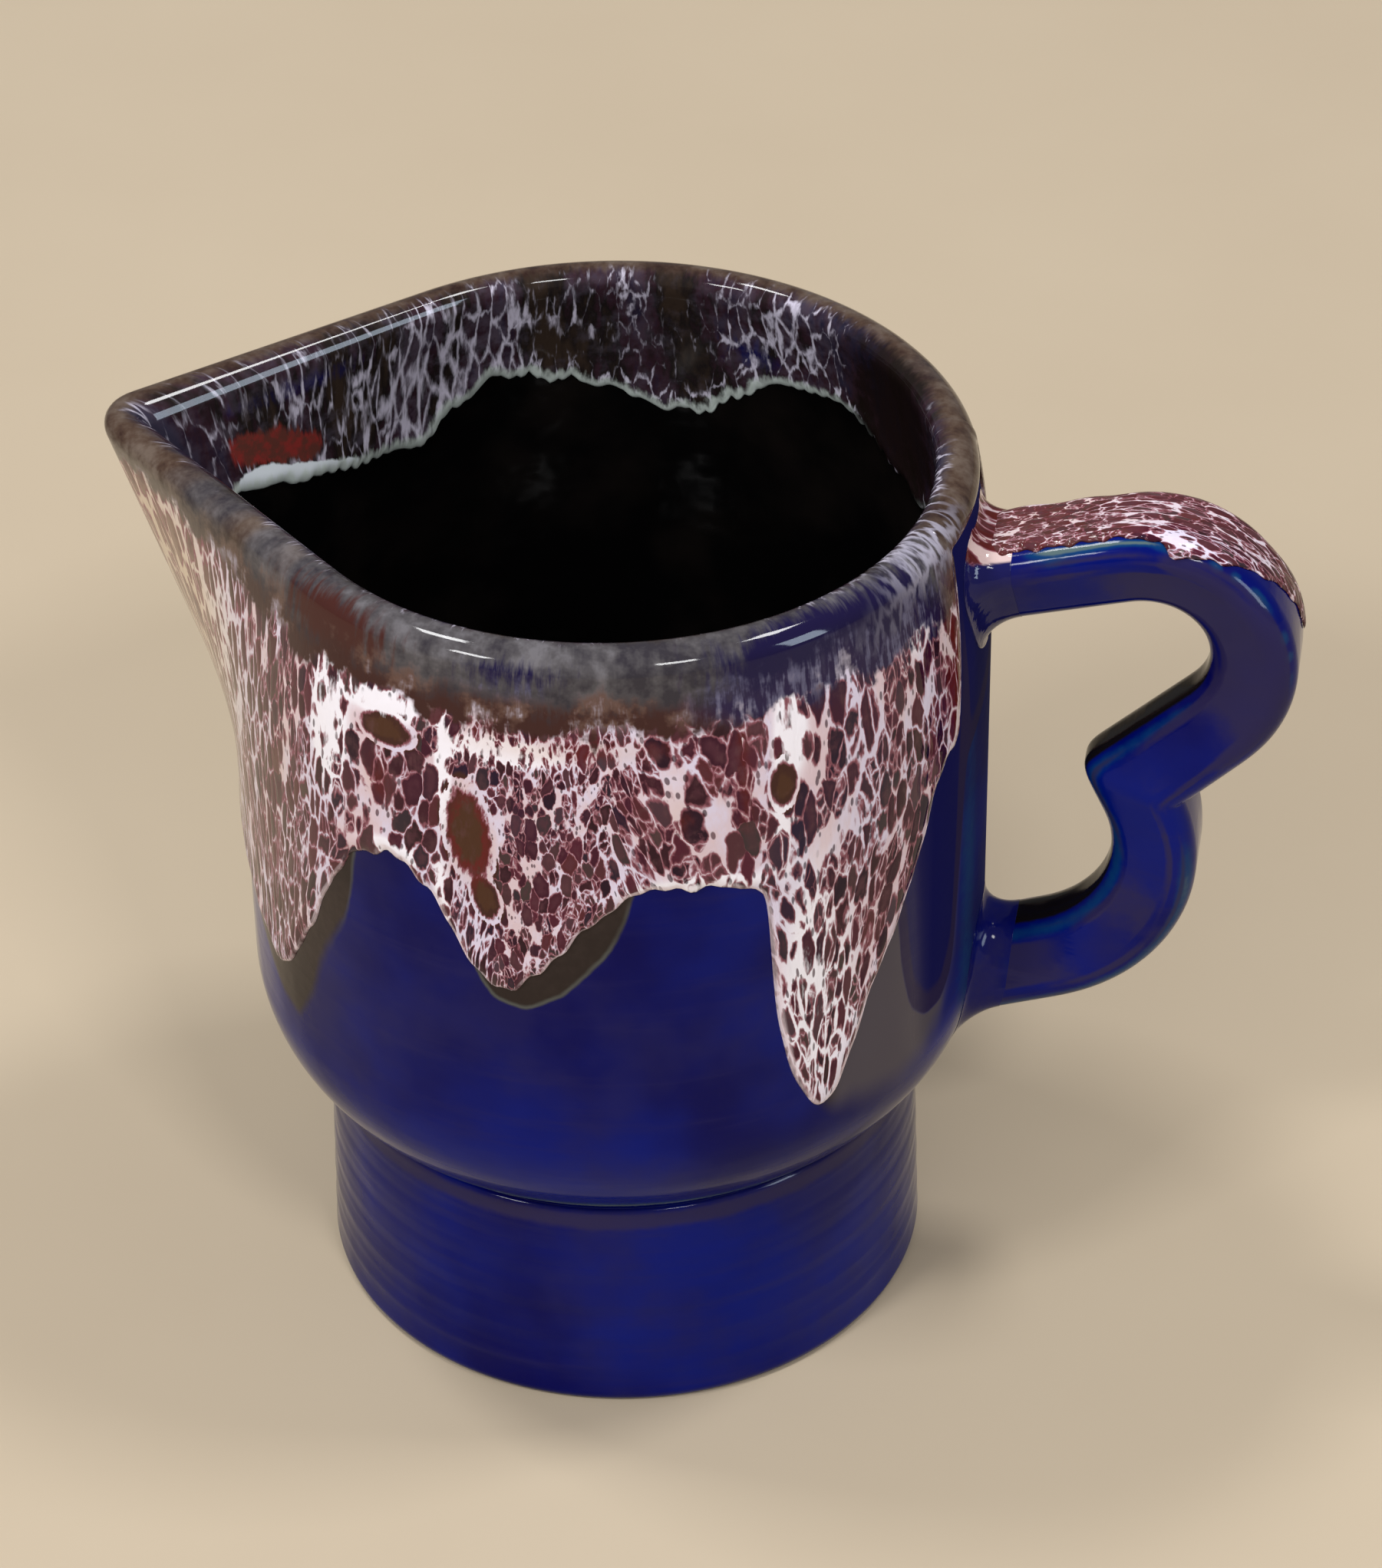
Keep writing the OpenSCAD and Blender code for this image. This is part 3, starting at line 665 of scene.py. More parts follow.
def foot_profile():
    """Up the outside of the foot, over its top and down inside to the middle of the floor."""
    top_z = foot_h - foot_top_edge
    z = np.linspace(foot_edge, top_z, 60)
    share = (z - foot_edge) / (foot_h - foot_edge)
    ripple = sum(height * np.sin(z * rate + phase) for height, rate, phase in ring_waves)
    inset = (ring_inset - ripple) * np.clip(np.minimum(z - foot_edge, top_z - z) / ring_fade, 0, 1)
    side = np.stack([foot_r + (foot_top_r - foot_r) * share - inset, z], axis=-1)
    base = np.array([(0.0, 0.0), (20.0, 0.0), (foot_r - foot_edge - 0.2, 0.0)])
    top = np.array([(throat_r + 0.3, foot_h), (throat_r, foot_h - 0.3)])
    floor = np.array([(15.0, floor_t), (0.0, floor_t)])
    return np.concatenate([
        base, quarter((foot_r - foot_edge, foot_edge), foot_edge, -90, -5),
        side, quarter((foot_top_r - foot_top_edge, top_z), foot_top_edge, 10, 90), top,
        quarter((throat_r - floor_corner, floor_t + floor_corner), floor_corner, 0, -90), floor])


foot_rows = foot_profile()
foot_grid = turned(foot_rows)
foot_haze = 1.1 * bell(foot_rows[:, 1:], foot_h - 1.6, 1.4) + 0 * foot_grid[..., 0]
make_piece("jug_foot", foot_grid, cobalt, "foot_cup", loop=False, fields={"haze": foot_haze})

# %% [markdown]
# The bowl sits on the foot in a ring of slip, which is soft clay used as glue. It shows as the dark
# groove under the bowl. It is a small ring with a hollow face.

# %% Slip between foot and bowl


def slip_profile():
    """A ring of the slip's height whose outer face is pressed in by a shallow arc."""
    share = np.linspace(0, 1, 9)
    height = foot_h + (join_z - foot_h) * share
    face = np.stack([foot_top_r - 0.5 - 0.3 * np.sin(np.pi * share), height], axis=-1)
    return np.concatenate([face, [(throat_r + 0.1, join_z), (throat_r + 0.1, foot_h)]])


make_piece("foot_slip_ring", turned(slip_profile()), cobalt, "foot_slip")

# %% [markdown]
# The bowl is one closed shell: up the outside, over the lip, and down the inside to the throat. Its
# points carry five fields. Stain is how far they lie inside the brown stain, where the clear part of the
# glaze ran further than the foam, and pool is the same for the dark pool beside the handle, whose deepest
# navy is painted shade from the handle. Each is the height above an edge that was measured. Soft blurs the
# stain and, beside the handle, turns it to a painted grey reflection. Thin paints a pale highlight beside
# the handle and a pale reflection in a line above the groove, and matt lies behind the handle.

# %% Bowl
stain_points = np.array([
    (-170, 13), (-150, 13), (-147, 40), (-142, 58), (-137, 61), (-131, 59), (-125, 46), (-121, 30),
    (-119, 20), (-101, 20), (-90, 58), (-84, 55), (-77, 42), (-73, 28), (-71, 20), (-52, 20), (-40, 50),
    (-34, 47), (-27, 36), (-23, 25), (0, 25), (20, 50), (36, 62), (42, 63), (46, 59), (52, 48), (57, 40.4),
    (59, 32), (60.5, 22), (75, 22), (78, 40), (81.5, 45), (87.3, 45.8), (93, 43), (99, 37.5), (102, 33),
    (104, 26), (106, 20), (122, 20), (128, 61), (133, 68), (139, 70), (147, 71), (154, 70), (160, 67),
    (165, 58), (168, 30), (170, 13)])
# The pool's deepest navy, beside the handle, is painted shade from the handle
pool_and_shade_points = np.array([
    (-166, 20), (-162, 56), (-155, 60), (-150, 56), (-147, 40), (-146, 0), (145, 0), (146.5, 48),
    (150, 58.5), (154, 61.5), (159, 61.5), (163, 58), (167, 30)])
# Each point: angle, softness of the stain's edge, which above one also turns the stain to a painted grey
# reflection
soft_points = np.array([
    (-180, 1), (-155, 1), (-146, 0), (28, 0), (38, 1), (50, 1), (60, 0), (126, 0), (131, 0.6), (138, 4),
    (180, 4)])


def bowl_rows():
    """Depth into the wall and height of each row of the bowl."""
    below = belly_z - belly_r * np.sin(outer_turn * np.linspace(1, 0, 30))
    up = np.linspace(belly_z, lip_z, 74)[1:]
    depth, height = lip_round(np.linspace(0, 180, 15)[1:-1], 0, 0)
    inside = belly_z - inner_belly_r * np.sin(inner_turn * np.linspace(0, 1, 14))
    z = np.concatenate([below, up, height, up[::-2], inside])
    d = np.concatenate([0 * below, 0 * up, depth, wall + 0 * up[::-2], wall + 0 * inside])
    return d[:, None], z[:, None]


def inside_edge(angle, z, edge):
    """How far a point of the outside lies above an edge, in millimetres, and below zero under it."""
    slope = np.gradient(edge, fine_arc)
    return (edge_at(angle, edge) - (lip_z - z)) / np.sqrt(1 + edge_at(angle, slope) ** 2)


bowl_angles = columns_round(240)
bowl_depth, bowl_z = bowl_rows()
on_outside = bowl_depth == 0
from_spout = np.abs(bowl_angles)
bowl_fields = {
    name: np.where(bowl_depth > 0, -5.0, 1.0 + inside_edge(bowl_angles, bowl_z, edge))
    for name, edge in {"stain": measured(stain_points, 0.9), "pool": measured(pool_and_shade_points, 0.8)}.items()}
bowl_fields["soft"] = np.interp(bowl_angles, *soft_points.T) + 0 * bowl_z
# Thin on the bowl is painted light: a highlight beside the handle and a reflection above the groove
highlight_by_handle = 0.55 * bell(from_spout, 169, 5)
bowl_fields["thin"] = highlight_by_handle + 1.5 * bell(bowl_z, join_z + 2.7, 1.5) * on_outside
bowl_fields["matt"] = fade(from_spout, 150, 6) * fade(bowl_z, 44, 6) * on_outside
bowl_grid = bowl_points(bowl_angles, bowl_z, bowl_depth)
make_piece("jug_bowl", bowl_grid, cobalt, "bowl", fields=bowl_fields)

# %% [markdown]
# The black glaze inside lies on the clay as a thin skin of its own, from the lip down to the floor. It is
# the bowl's inner form again, moved inwards.

# %% Black glaze inside
liner_back, liner_face = 0.05, 0.6


def liner_points(inset, angle):
    """Rows down the inside at an inset from the clay: the wall, the belly, the foot's wall and the floor."""
    down = np.linspace(lip_z, belly_z, 50)
    belly = belly_z - (inner_belly_r - inset) * np.sin(inner_turn * np.linspace(0, 1, 16))[1:]
    walls = bowl_points(angle, np.concatenate([down, belly])[:, None], wall + inset)
    centre = (throat_r - floor_corner, floor_t + floor_corner)
    corner = quarter(centre, floor_corner - inset, 0, -90, 10)
    rings = np.concatenate([corner, [(12.0, floor_t + inset), (0.0, floor_t + inset)]])
    return np.concatenate([walls, turned(rings, angle)])


liner_angles = columns_round(180)
liner_grid = np.concatenate([
    liner_points(liner_back, liner_angles)[::-1], liner_points(liner_face, liner_angles)])
make_piece("inside_glaze", liner_grid, black, "liner_glaze", loop=False)

# %% [markdown]
# The mottled glaze is a thick sheet that hangs over the lip. Its face stands off the clay by a thickness
# that falls to nothing at the edge along a quarter of an ellipse, as a drop of honey does. That needs the
# distance to the edge, so each point is measured against the stretch of edge beside it.

# %% Sheet of mottled glaze
sheet_t, round_over = 0.58, 1.6
bead_t, bead_at, bead_half = 0.12, 1.6, 1.1
sheet_columns, outside_rows, inside_rows, back_rows = 720, 62, 26, 9
back_depth = -0.08
lip_turn = np.linspace(0, 180, 17)[1:-1][:, None]


def sheet_angles(count):
    """Angles of the columns, spaced evenly along the lower edge, so that steep sides get their share."""
    slope = np.gradient(outer_edge, fine_arc)
    along = np.concatenate([[0], np.cumsum(np.sqrt(1 + (0.8 * slope) ** 2))])
    return np.interp(np.arange(count) * along[-1] / count, along, closed_angle)


def distance_to_edge(angle, below, edge, reach=18):
    """Distance in millimetres from each point to the nearest edge point within reach, the wall unrolled."""
    arc = np.radians(angle) * bowl_r
    half_round = np.pi * bowl_r
    gaps = []
    for k in range(-reach, reach + 1):
        across = (np.roll(arc, k) - arc + half_round) % (2 * half_round) - half_round
        gaps.append(np.hypot(across, np.roll(edge, k) - below))
    return np.min(gaps, axis=0)


def thickness(shore):
    """Thickness of the sheet at a distance from its edge: a quarter ellipse, with a low bead behind it."""
    fall = np.sqrt(1 - (1 - np.clip(shore / round_over, 0, 1)) ** 2)
    return sheet_t * fall + bead_t * bell(shore, bead_at, bead_half) * fall


def sheet_rows(angle, below_out, below_in, grown_outside, grown_inside):
    """The sheet's rows from the outer edge over the lip to the inner edge, grown off the clay."""
    depth, height = lip_round(lip_turn, grown_outside[-1], grown_inside[0] + liner_face)
    return np.concatenate([
        bowl_points(angle, lip_z - below_out, -grown_outside), bowl_points(angle, height, depth),
        bowl_points(angle, lip_z - below_in, wall + liner_face + grown_inside)])


sheet_angle = sheet_angles(sheet_columns)
sheet_out = edge_at(sheet_angle, outer_edge)
sheet_in = edge_at(sheet_angle, inner_edge)
below_out = sheet_out * (1 - np.linspace(0, 1, outside_rows) ** 1.7)[:, None]
below_in = sheet_in * (1 - np.linspace(1, 0, inside_rows) ** 1.6)[:, None]
shore_out = distance_to_edge(sheet_angle, below_out, sheet_out)
shore_in = distance_to_edge(sheet_angle, below_in, sheet_in)
sheet_face = sheet_rows(sheet_angle, below_out, below_in, thickness(shore_out), thickness(shore_in))
back_share = np.linspace(0, 1, back_rows)[:, None]
flat_back = np.full((back_rows, sheet_columns), back_depth)
sheet_back = sheet_rows(
    sheet_angle, sheet_out * (1 - back_share), sheet_in * back_share, flat_back, flat_back)
print(f"Sheet: {len(sheet_face)} rows on its face, {len(sheet_back)} on its back")

# %% [markdown]
# Now the coordinates of the foam. The bubbles' size is set by angle: fine in the middle tongue, long in
# the others. Counting them round the bowl gives an angle of their own, and the run down the sheet,
# divided by their height, gives the third coordinate. Over the lip the run goes on below zero.

# %% Coordinates of the foam
# Each row: angle, width and height of a bubble
bubble_sizes = np.array([
    (-150, 2.4, 5.0), (-90, 2.0, 4.2), (-30, 1.7, 6.5), (0, 1.6, 8.0), (30, 1.3, 6.0), (48, 1.2, 4.8),
    (62, 2.2, 4.4), (75, 1.7, 3.4), (82, 1.15, 2.5), (100, 1.15, 2.6), (108, 2.6, 4.0), (118, 2.3, 4.8),
    (128, 2.0, 5.6), (150, 1.6, 4.6)])
# Each row: angle, angle of the tip of the tongue that it belongs to
tongue_tips = np.array([
    (-165, -139), (-116, -139), (-114, -92), (-69, -92), (-67, -42), (-27, -42), (-23, -23), (10, 10),
    (20, 38), (60, 38), (64, 84), (104, 84), (108, 131), (165, 131)])
lean_start, lean_length, lean_share = 29, 36, 0.7


def bubble_coordinates(angle, run):
    """Bubbles counted round the bowl, laid on a circle so that they close, and bubbles counted down the run.

    Below the level edge the angle is spread from each tongue's tip, so that its bubbles lean towards the tip.
    """
    tip = np.interp(angle, *tongue_tips.T, period=360)
    angle = angle + (angle - tip) * lean_share * fade(run, lean_start, lean_length)
    at, width, height = bubble_sizes.T
    count = np.concatenate([[0], np.cumsum(fine_arc / np.interp(fine_angle, at, width, period=360))])
    turn = np.interp(angle, closed_angle, count / count[-1] * 2 * np.pi) + 0 * run
    radius = count[-1] / (2 * np.pi)
    down = run / np.interp(angle, at, height, period=360)
    return np.stack([radius * np.cos(turn), radius * np.sin(turn), down], axis=-1)


lip_mid_r = wall / 2 + 1.0
lip_run = -np.radians(lip_turn) * lip_mid_r + 0 * sheet_angle
inner_start = -np.pi * lip_mid_r
face_run = np.concatenate([below_out, lip_run, inner_start - below_in])
face_cells = bubble_coordinates(sheet_angle, face_run)
print(f"Run from {face_run.max():.1f} down outside to {face_run.min():.1f} inside")

# %% [markdown]
# The other fields of the foam are placed one by one where the real ones lie: white pools, red patches, navy
# clouds, pale flanks and threads as soft spots, and a few large bubbles as ovals. Then the sheet is made.

# %% Fields of the mottled glaze
# Each spot: angle, run below the lip, half width in degrees, half height in millimetres, strength
spot_marks = {
    "milk": [
        (55, 12.5, 3.6, 8.5, 0.85), (65, 7.0, 5.5, 1.6, 1.25), (67, 26.5, 5, 1.3, 0.9),
        (75.5, 12, 1.3, 8, 0.8), (84, 9.5, 9, 1.5, 0.9), (112, 27.8, 9, 1.4, 0.9),
        (127, 9, 2.2, 5, 0.95), (125, 19, 1.6, 7, 0.5), (129, 44, 3.5, 12, 0.28), (15, 18, 18, 14, 0.35),
        (-20, 16, 14, 10, 0.3), (-70, 22, 8, 4, 0.7), (-115, 22, 7, 5, 0.8), (-155, 12, 5, 8, 0.5),
        (74.5, 33, 1.4, 7, 0.6), (152, 3, 4, 5, 0.5), (-10.5, -20.2, 4, 1.6, 1.3),
        (-16, -22.0, 4, 1.6, 1.3), (-21, -23.2, 4, 1.5, 1.2), (-26.5, -24.3, 4, 1.2, 1.1),
        (108, 16, 7, 12, 0.10), (140, 18, 12, 16, 0.06), (132, 48, 8, 20, 0.35), (100, 18, 14, 10, 0.07),
        (92, 20, 12, 14, -0.08), (72.5, 15, 1.2, 12, -0.5), (119.5, 14, 1.5, 10, -0.5),
        (161, 20, 5, 9, -0.12), (40, 30, 8, 24, -0.16)],
    "ember": [
        (65, 17, 4, 4, 0.6), (110, 18, 3, 4, 0.5), (119.5, 14, 1.5, 10, 0.7), (54, 0.5, 12, 4, 0.9),
        (79.5, 22, 4, 8, 0.8), (82, 5, 5, 2, 0.6), (95, 8.5, 20, 2.2, 0.7), (161, 14, 4, 14, 0.9),
        (-10.5, -15.8, 3.2, 2.4, 1.1), (-15.5, -17.5, 3.4, 2.5, 1.2), (-20.5, -19.3, 2.6, 2.2, 1.1),
        (-100, 15, 5, 8, 0.6), (-45, 12, 6, 8, 0.5), (36, 34, 10, 18, 0.35)],
    "navy": [
        (130, 1, 13, 5, 1.2), (126, 30, 5, 14, 0.6), (138, 20, 12, 16, 0.6), (88, 18, 10, 6, 0.5),
        (86, 0.0, 9, 2.0, 0.6), (149, 3, 8, 6, 1.0), (-40, 1, 12, 4, 0.5), (-120, 1, 9, 4, 0.7),
        (-20, -10.5, 16, 2.0, 0.6), (-106, -16, 8, 4, 0.6)],
    "pale": [(8, 16, 18, 22, 1.1), (-16, 14, 16, 14, 0.5), (42, 30, 10, 26, 0.3)],
    "lace": [
        (-45, -18, 14, 9, 1.0), (-68, -12, 10, 4, 0.3), (-115, -12, 9, 5, 0.6), (-142, -15, 14, 12, -0.9),
        (-20, -13, 9, 4, 0.3), (160, -3, 16, 6, 0.6), (138, 5, 16, 5, 0.4)]}
# Each large bubble: angle, run, half width in degrees, half height, degrees that it leans per millimetre
blob_marks = [
    (79.3, 21.0, 3.4, 6.0, 0.12), (81.5, 29.5, 2.0, 3.0, 0.2), (66, 10.2, 4.4, 2.0, 0.0),
    (125.4, 16, 2.0, 3.0, 0.0), (-62, 14, 4, 4, 0.1)]
far_from_edge = 9.0


def aside(angle, middle):
    """Degrees from a middle to an angle, the shorter way round."""
    return (angle - middle + 180) % 360 - 180


def spots(marks, angle, run):
    """The sum of soft spots: each a bell curve in angle times one in run."""
    total = 0 * run
    for at, down, half_angle, half_run, strength in marks:
        total = total + strength * bell(aside(angle, at), 0, half_angle) * bell(run, down, half_run)
    return total


def large_bubbles(marks, angle, run):
    """One and a half in the heart of a large bubble, a half on its outline, nothing half its size beyond."""
    total = 0 * run
    for at, down, half_angle, half_run, lean in marks:
        sideways = aside(angle, at + lean * (run - down)) / half_angle
        total = np.maximum(total, 1.5 - np.hypot(sideways, (run - down) / half_run))
    return total


sheet_fields = {name: spots(marks, sheet_angle, face_run) for name, marks in spot_marks.items()}
sheet_fields["pale"] = np.clip(sheet_fields["pale"], 0, 1)
sheet_fields["cells"] = face_cells
sheet_fields["run"] = face_run
sheet_fields["shore"] = np.concatenate([shore_out, np.full_like(lip_run, far_from_edge), shore_in])
sheet_fields["within"] = fade(face_run, -3.5, -3.5)
sheet_fields["blob"] = large_bubbles(blob_marks, sheet_angle, face_run)
# Brown behind and by the spout; by the spout it is partly a painted reflection of brown surroundings
brown = 0.55 - 0.75 * np.sin(np.radians(sheet_angle - 18)) + 0.8 * bell(np.abs(sheet_angle), 178, 16)
sheet_fields["warm"] = np.clip(brown + 0 * face_run, 0, 1)
# The back, which nobody sees, repeats the first row of the face
sheet_fields = {name: np.concatenate([values, np.repeat(values[:1], len(sheet_back), axis=0)])
                for name, values in sheet_fields.items()}
sheet_grid = np.concatenate([sheet_face, sheet_back[::-1]])
make_piece("run_glaze", sheet_grid, mottled, "drip_glaze", fields=sheet_fields)

# %% [markdown]
# The handle is a strap bent into two lobes. Its middle line is two arcs joined by straight lengths that
# cross at the waist, and one section, rounded at its four edges, is carried along it. A helper moves a
# ring of points along the strap until it lies on the bowl.

# %% Form of the strap
strap_w, strap_inner_w, strap_t, waist_t = 12.6, 9.4, 10.4, 13.2
strap_edge, strap_inner_edge = 2.8, 3.8
upper_centre, upper_r = np.array([bowl_r + 18.5, lip_z - 18.5]), 12.4
lower_centre, lower_r = np.array([bowl_r + 2.9, join_z + 35.0]), 17.6
upper_heading, above_waist, below_waist, lower_heading = 15.0, -136.0, -66.0, -161.0


def way(heading):
    """Unit direction in the handle's plane, as x and z."""
    turn = np.radians(heading)
    return np.stack([np.cos(turn), np.sin(turn)], axis=-1)


def strap_section(grown=0.0, steps=12):
    """The strap's section as offsets outwards and across: four arcs about the centres of its edges."""
    outer = np.array([strap_t / 2 - strap_edge, strap_w / 2 - strap_edge])
    inner = np.array([strap_inner_edge - strap_t / 2, strap_inner_w / 2 - strap_inner_edge])
    span = outer - inner
    opening = math.asin((strap_inner_edge - strap_edge) / np.hypot(*span))
    lean = math.degrees(math.atan2(span[1], span[0]) - opening)
    ends = [0, 90 + lean, 180, 270 - lean, 360]
    corners = [(outer, strap_edge, -1), (inner, strap_inner_edge, -1),
               (inner, strap_inner_edge, 1), (outer, strap_edge, 1)]
    parts = []
    for k, (centre, radius, side) in enumerate(corners):
        turn = np.radians(np.linspace(ends[k], ends[k + 1], steps))
        out = centre[0] + (radius + grown) * np.cos(turn)
        across = side * centre[1] - (radius + grown) * np.sin(turn)
        parts.append(np.stack([out, across], axis=-1))
    return np.concatenate(parts)


def lobe(centre, radius, start, end, steps=40):
    """Stations round a lobe: a point of the middle line, its heading, and no stretch."""
    heading = np.linspace(start, end, steps)
    return centre + radius * way(heading + 90), heading, np.ones(steps)


def waist_point():
    """Where the two straight lengths cross."""
    start = upper_centre + upper_r * way(above_waist + 90)
    gap = lower_centre + lower_r * way(below_waist + 90) - start
    u, v = way(above_waist), way(below_waist)
    return start + u * (gap[0] * v[1] - gap[1] * v[0]) / (u[0] * v[1] - u[1] * v[0])


def strap_ring(station, section):
    """The section set up at a station: outwards is square to the heading, across is along the jug's y."""
    middle, heading, stretch = station
    out = section[:, :1] * np.asarray(stretch)[..., None, None]
    flat = middle[..., None, :] + way(np.asarray(heading) + 90)[..., None, :] * out
    across = np.broadcast_to(section[:, 1], flat.shape[:-1])
    return np.stack([flat[..., 0], across, flat[..., 1]], axis=-1)


def landed(ring, heading, gap):
    """A ring moved along its heading until each of its points lies a gap off the bowl."""
    x, y, z = ring[..., 0], ring[..., 1], ring[..., 2]
    slope = math.tan(math.radians(heading))
    for _ in range(8):
        near = np.sqrt((wall_r(z, 0) + gap) ** 2 - y**2)
        z = z + (near - x) * slope
        x = near
    return np.stack([x, y, z], axis=-1)


upper_stations = lobe(upper_centre, upper_r, upper_heading, above_waist)
lower_stations = lobe(lower_centre, lower_r, below_waist, lower_heading)
waist_station = (waist_point(), (above_waist + below_waist) / 2, waist_t / strap_t)
first_station = [part[0] for part in upper_stations]
last_station = [part[-1] for part in lower_stations]
print("Waist of the handle at x, z:", np.round(waist_station[0], 1), "mm")

# %% [markdown]
# The rings are first set up at the stations, then spread evenly along the strap by straight lines between
# them, then averaged a little, which rounds the notch at the waist as a thumb would. Both steps are one
# matrix each, applied to all rings at once. Thin is high on the rounded edges, where the blue glaze drew
# away and turned paler, haze lies in brush strokes on the two sides, and shade is painted shade that
# darkens the inner face.

# %% Handle
strap_gap, ring_spacing, ring_spread = 0.2, 0.45, 0.9
section_bend = 112


def even_rings(rings, spacing, spread):
    """Rings at even spacing along their mean line, averaged along it with a bell curve of that spread."""
    steps = np.linalg.norm(np.diff(rings.mean(axis=1), axis=0), axis=1)
    run = np.concatenate([[0], np.cumsum(steps)])
    at = np.linspace(0, run[-1], int(run[-1] / spacing))
    spread_out = np.array([np.interp(at, run, row) for row in np.eye(len(run))]).T
    to_end = np.minimum(at, at[-1] - at)[:, None]
    near_spread = np.maximum(0.05, np.minimum(spread, to_end / 3))
    weight = np.exp(-0.5 * ((at[:, None] - at[None, :]) / near_spread) ** 2)
    weight /= weight.sum(axis=1, keepdims=True)
    return np.tensordot(weight @ spread_out, rings, axes=1), at


def drawn_in(ring, share):
    """A ring drawn towards its middle by a share."""
    return ring * (1 - share) + ring.mean(axis=1, keepdims=True) * share


def from_outside(steps):
    """Turn of each point of the section from the middle of the outer side, the same on both sides."""
    ends = [0, section_bend, 180, 360 - section_bend, 360]
    turn = np.concatenate([np.linspace(*pair, steps) for pair in zip(ends, ends[1:])])
    return np.minimum(turn, 360 - turn)[None, :]


def strap_fields(run, turn):
    """Thin glaze along the strap's edges, brushed haze on its sides, and painted shade on its inner face."""
    off_bowl = fade(run, 4.5, 5)
    pale_line = 1.25 * bell(turn, 31, 9) * fade(run, 21.5, -2) * off_bowl
    upper_teal = 0.65 * bell(turn, 50, 25) * fade(run, 18, -9) * off_bowl
    streaks = 0.6 + 0.4 * np.sin(run * 2.1 + 2 * np.sin(run * 0.7))
    lobe_teal = 0.95 * bell(turn, 40, 15) * fade(run, 19, 3) * fade(run, 44, -8) * streaks
    lower_teal = 0.95 * bell(turn, 48, 24) * fade(run, 68, 6)
    corner_teal = 0.58 * bell(turn, 138, 16) * fade(run, 42, 8)
    bloom = bell(turn, 85, 50) * fade(run, 20.5, 1.5) * fade(run, 54, -12)
    strokes = np.sin(turn / 6 + 1.5 * np.sin(run / 9)) * np.sin(run / 5 + turn / 30) * fade(run, 5, 6)
    on_sides = fade(turn, 40, 20) * fade(turn, 148, -10)
    # The shade field is painted shade on the strap's inner face
    return {"thin": pale_line + upper_teal + lobe_teal + lower_teal + corner_teal,
            "haze": bloom + on_sides * (0.38 + 0.7 * strokes), "shade": fade(turn, 152, 12) + 0 * run}


section = strap_section()
strap_rings = np.concatenate([
    landed(strap_ring(first_station, section), upper_heading, strap_gap)[None],
    strap_ring(upper_stations, section),
    strap_ring([np.asarray(part)[None] for part in waist_station], section),
    strap_ring(lower_stations, section),
    landed(strap_ring(last_station, section), lower_heading, strap_gap)[None]])
strap_rings, strap_run = even_rings(strap_rings, ring_spacing, ring_spread)
first_ring, last_ring = strap_rings[:1], strap_rings[-1:]
handle_grid = np.concatenate([
    drawn_in(first_ring, 1), drawn_in(first_ring, 0.5), strap_rings, drawn_in(last_ring, 0.5),
    drawn_in(last_ring, 1)])
handle_run = np.concatenate([[0, 0], strap_run, strap_run[-1:], strap_run[-1:]])[:, None]
make_piece("strap_handle", handle_grid, cobalt, "handle", loop=False,
           fields=strap_fields(handle_run, from_outside(12)))

# %% [markdown]
# Slip was worked round both ends of the strap with a wet finger, which leaves a hollow curve from the
# strap to the bowl. It is a quarter round whose start lies on the strap and whose end lies on the bowl.
# The upper one took the mottled glaze on its top, with bare blue below, and the lower one is blue.

# %% Slip round the handle's ends
slip_run, slip_spread, collar_steps = 4.5, 3.0, 24
slip_lift, face_gap, back_gap, hidden_start = 0.04, 0.03, -0.05, -0.2
back_grown = [slip_spread * 0.6, 0.02]
foam_run = 16.0


def collar(station, heading, outward):
    """A hollow quarter round from the strap to the bowl, closed on its inner side.

    Its first ring lies hidden in the strap, and the ring after it starts the curve.
    """
    turn = np.radians(np.concatenate([[0, 0.6], np.linspace(2.5, 90, 20)]))
    grown = [hidden_start, *slip_spread * (1 - np.cos(turn))]
    lift = [slip_run, *slip_run * (1 - np.sin(turn))]
    flat = way(heading) * outward
    along = np.array([flat[0], 0, flat[1]])

    def ring(growth, gap):
        return landed(strap_ring(station, strap_section(growth, collar_steps)), heading, gap)

    face = [ring(g + slip_lift, face_gap) + along * h for g, h in zip(grown, lift)]
    return np.array(face + [ring(growth, back_gap) for growth in back_grown])


def even_fields(shape, **values):
    """Fields that have one value all over a piece."""
    return {name: np.full(shape, value) for name, value in values.items()}


upper_collar = collar(first_station, upper_heading, 1)
lower_collar = collar(last_station, lower_heading, -1)
collar_shape = upper_collar.shape[:2]
collar_angle = np.degrees(np.arctan2(-upper_collar[..., 1], -upper_collar[..., 0]))
collar_fields = even_fields(collar_shape, run=foam_run, shore=far_from_edge, ember=0.75, milk=0.05)
collar_fields["cells"] = bubble_coordinates(collar_angle, 1.6 * (lip_z - upper_collar[..., 2]))
collar_fields["bare"] = fade(from_outside(collar_steps) + 0 * collar_angle, 22, 40)
make_piece("upper_slip_collar", upper_collar, mottled, "upper_handle_slip",
           fields=collar_fields)
make_piece("lower_slip_collar", lower_collar, cobalt, "lower_handle_slip",
           fields=even_fields(collar_shape, thin=0.25, haze=0.38))

# %% [markdown]
# The same glaze ran along the top of the handle. It is a cap on the outer side of the strap: a sheet with
# the strap's own section, lifted off it, whose two edges wander over the rounded corners. The front edge
# was measured, and the back one is made up.

# %% Glaze on the handle
lead, cap_start, cap_end, cap_rounding = 17.0, 0.6, 39.0, 2.0
cap_t, cap_thinning, cap_sink = 0.9, 0.4, 0.1
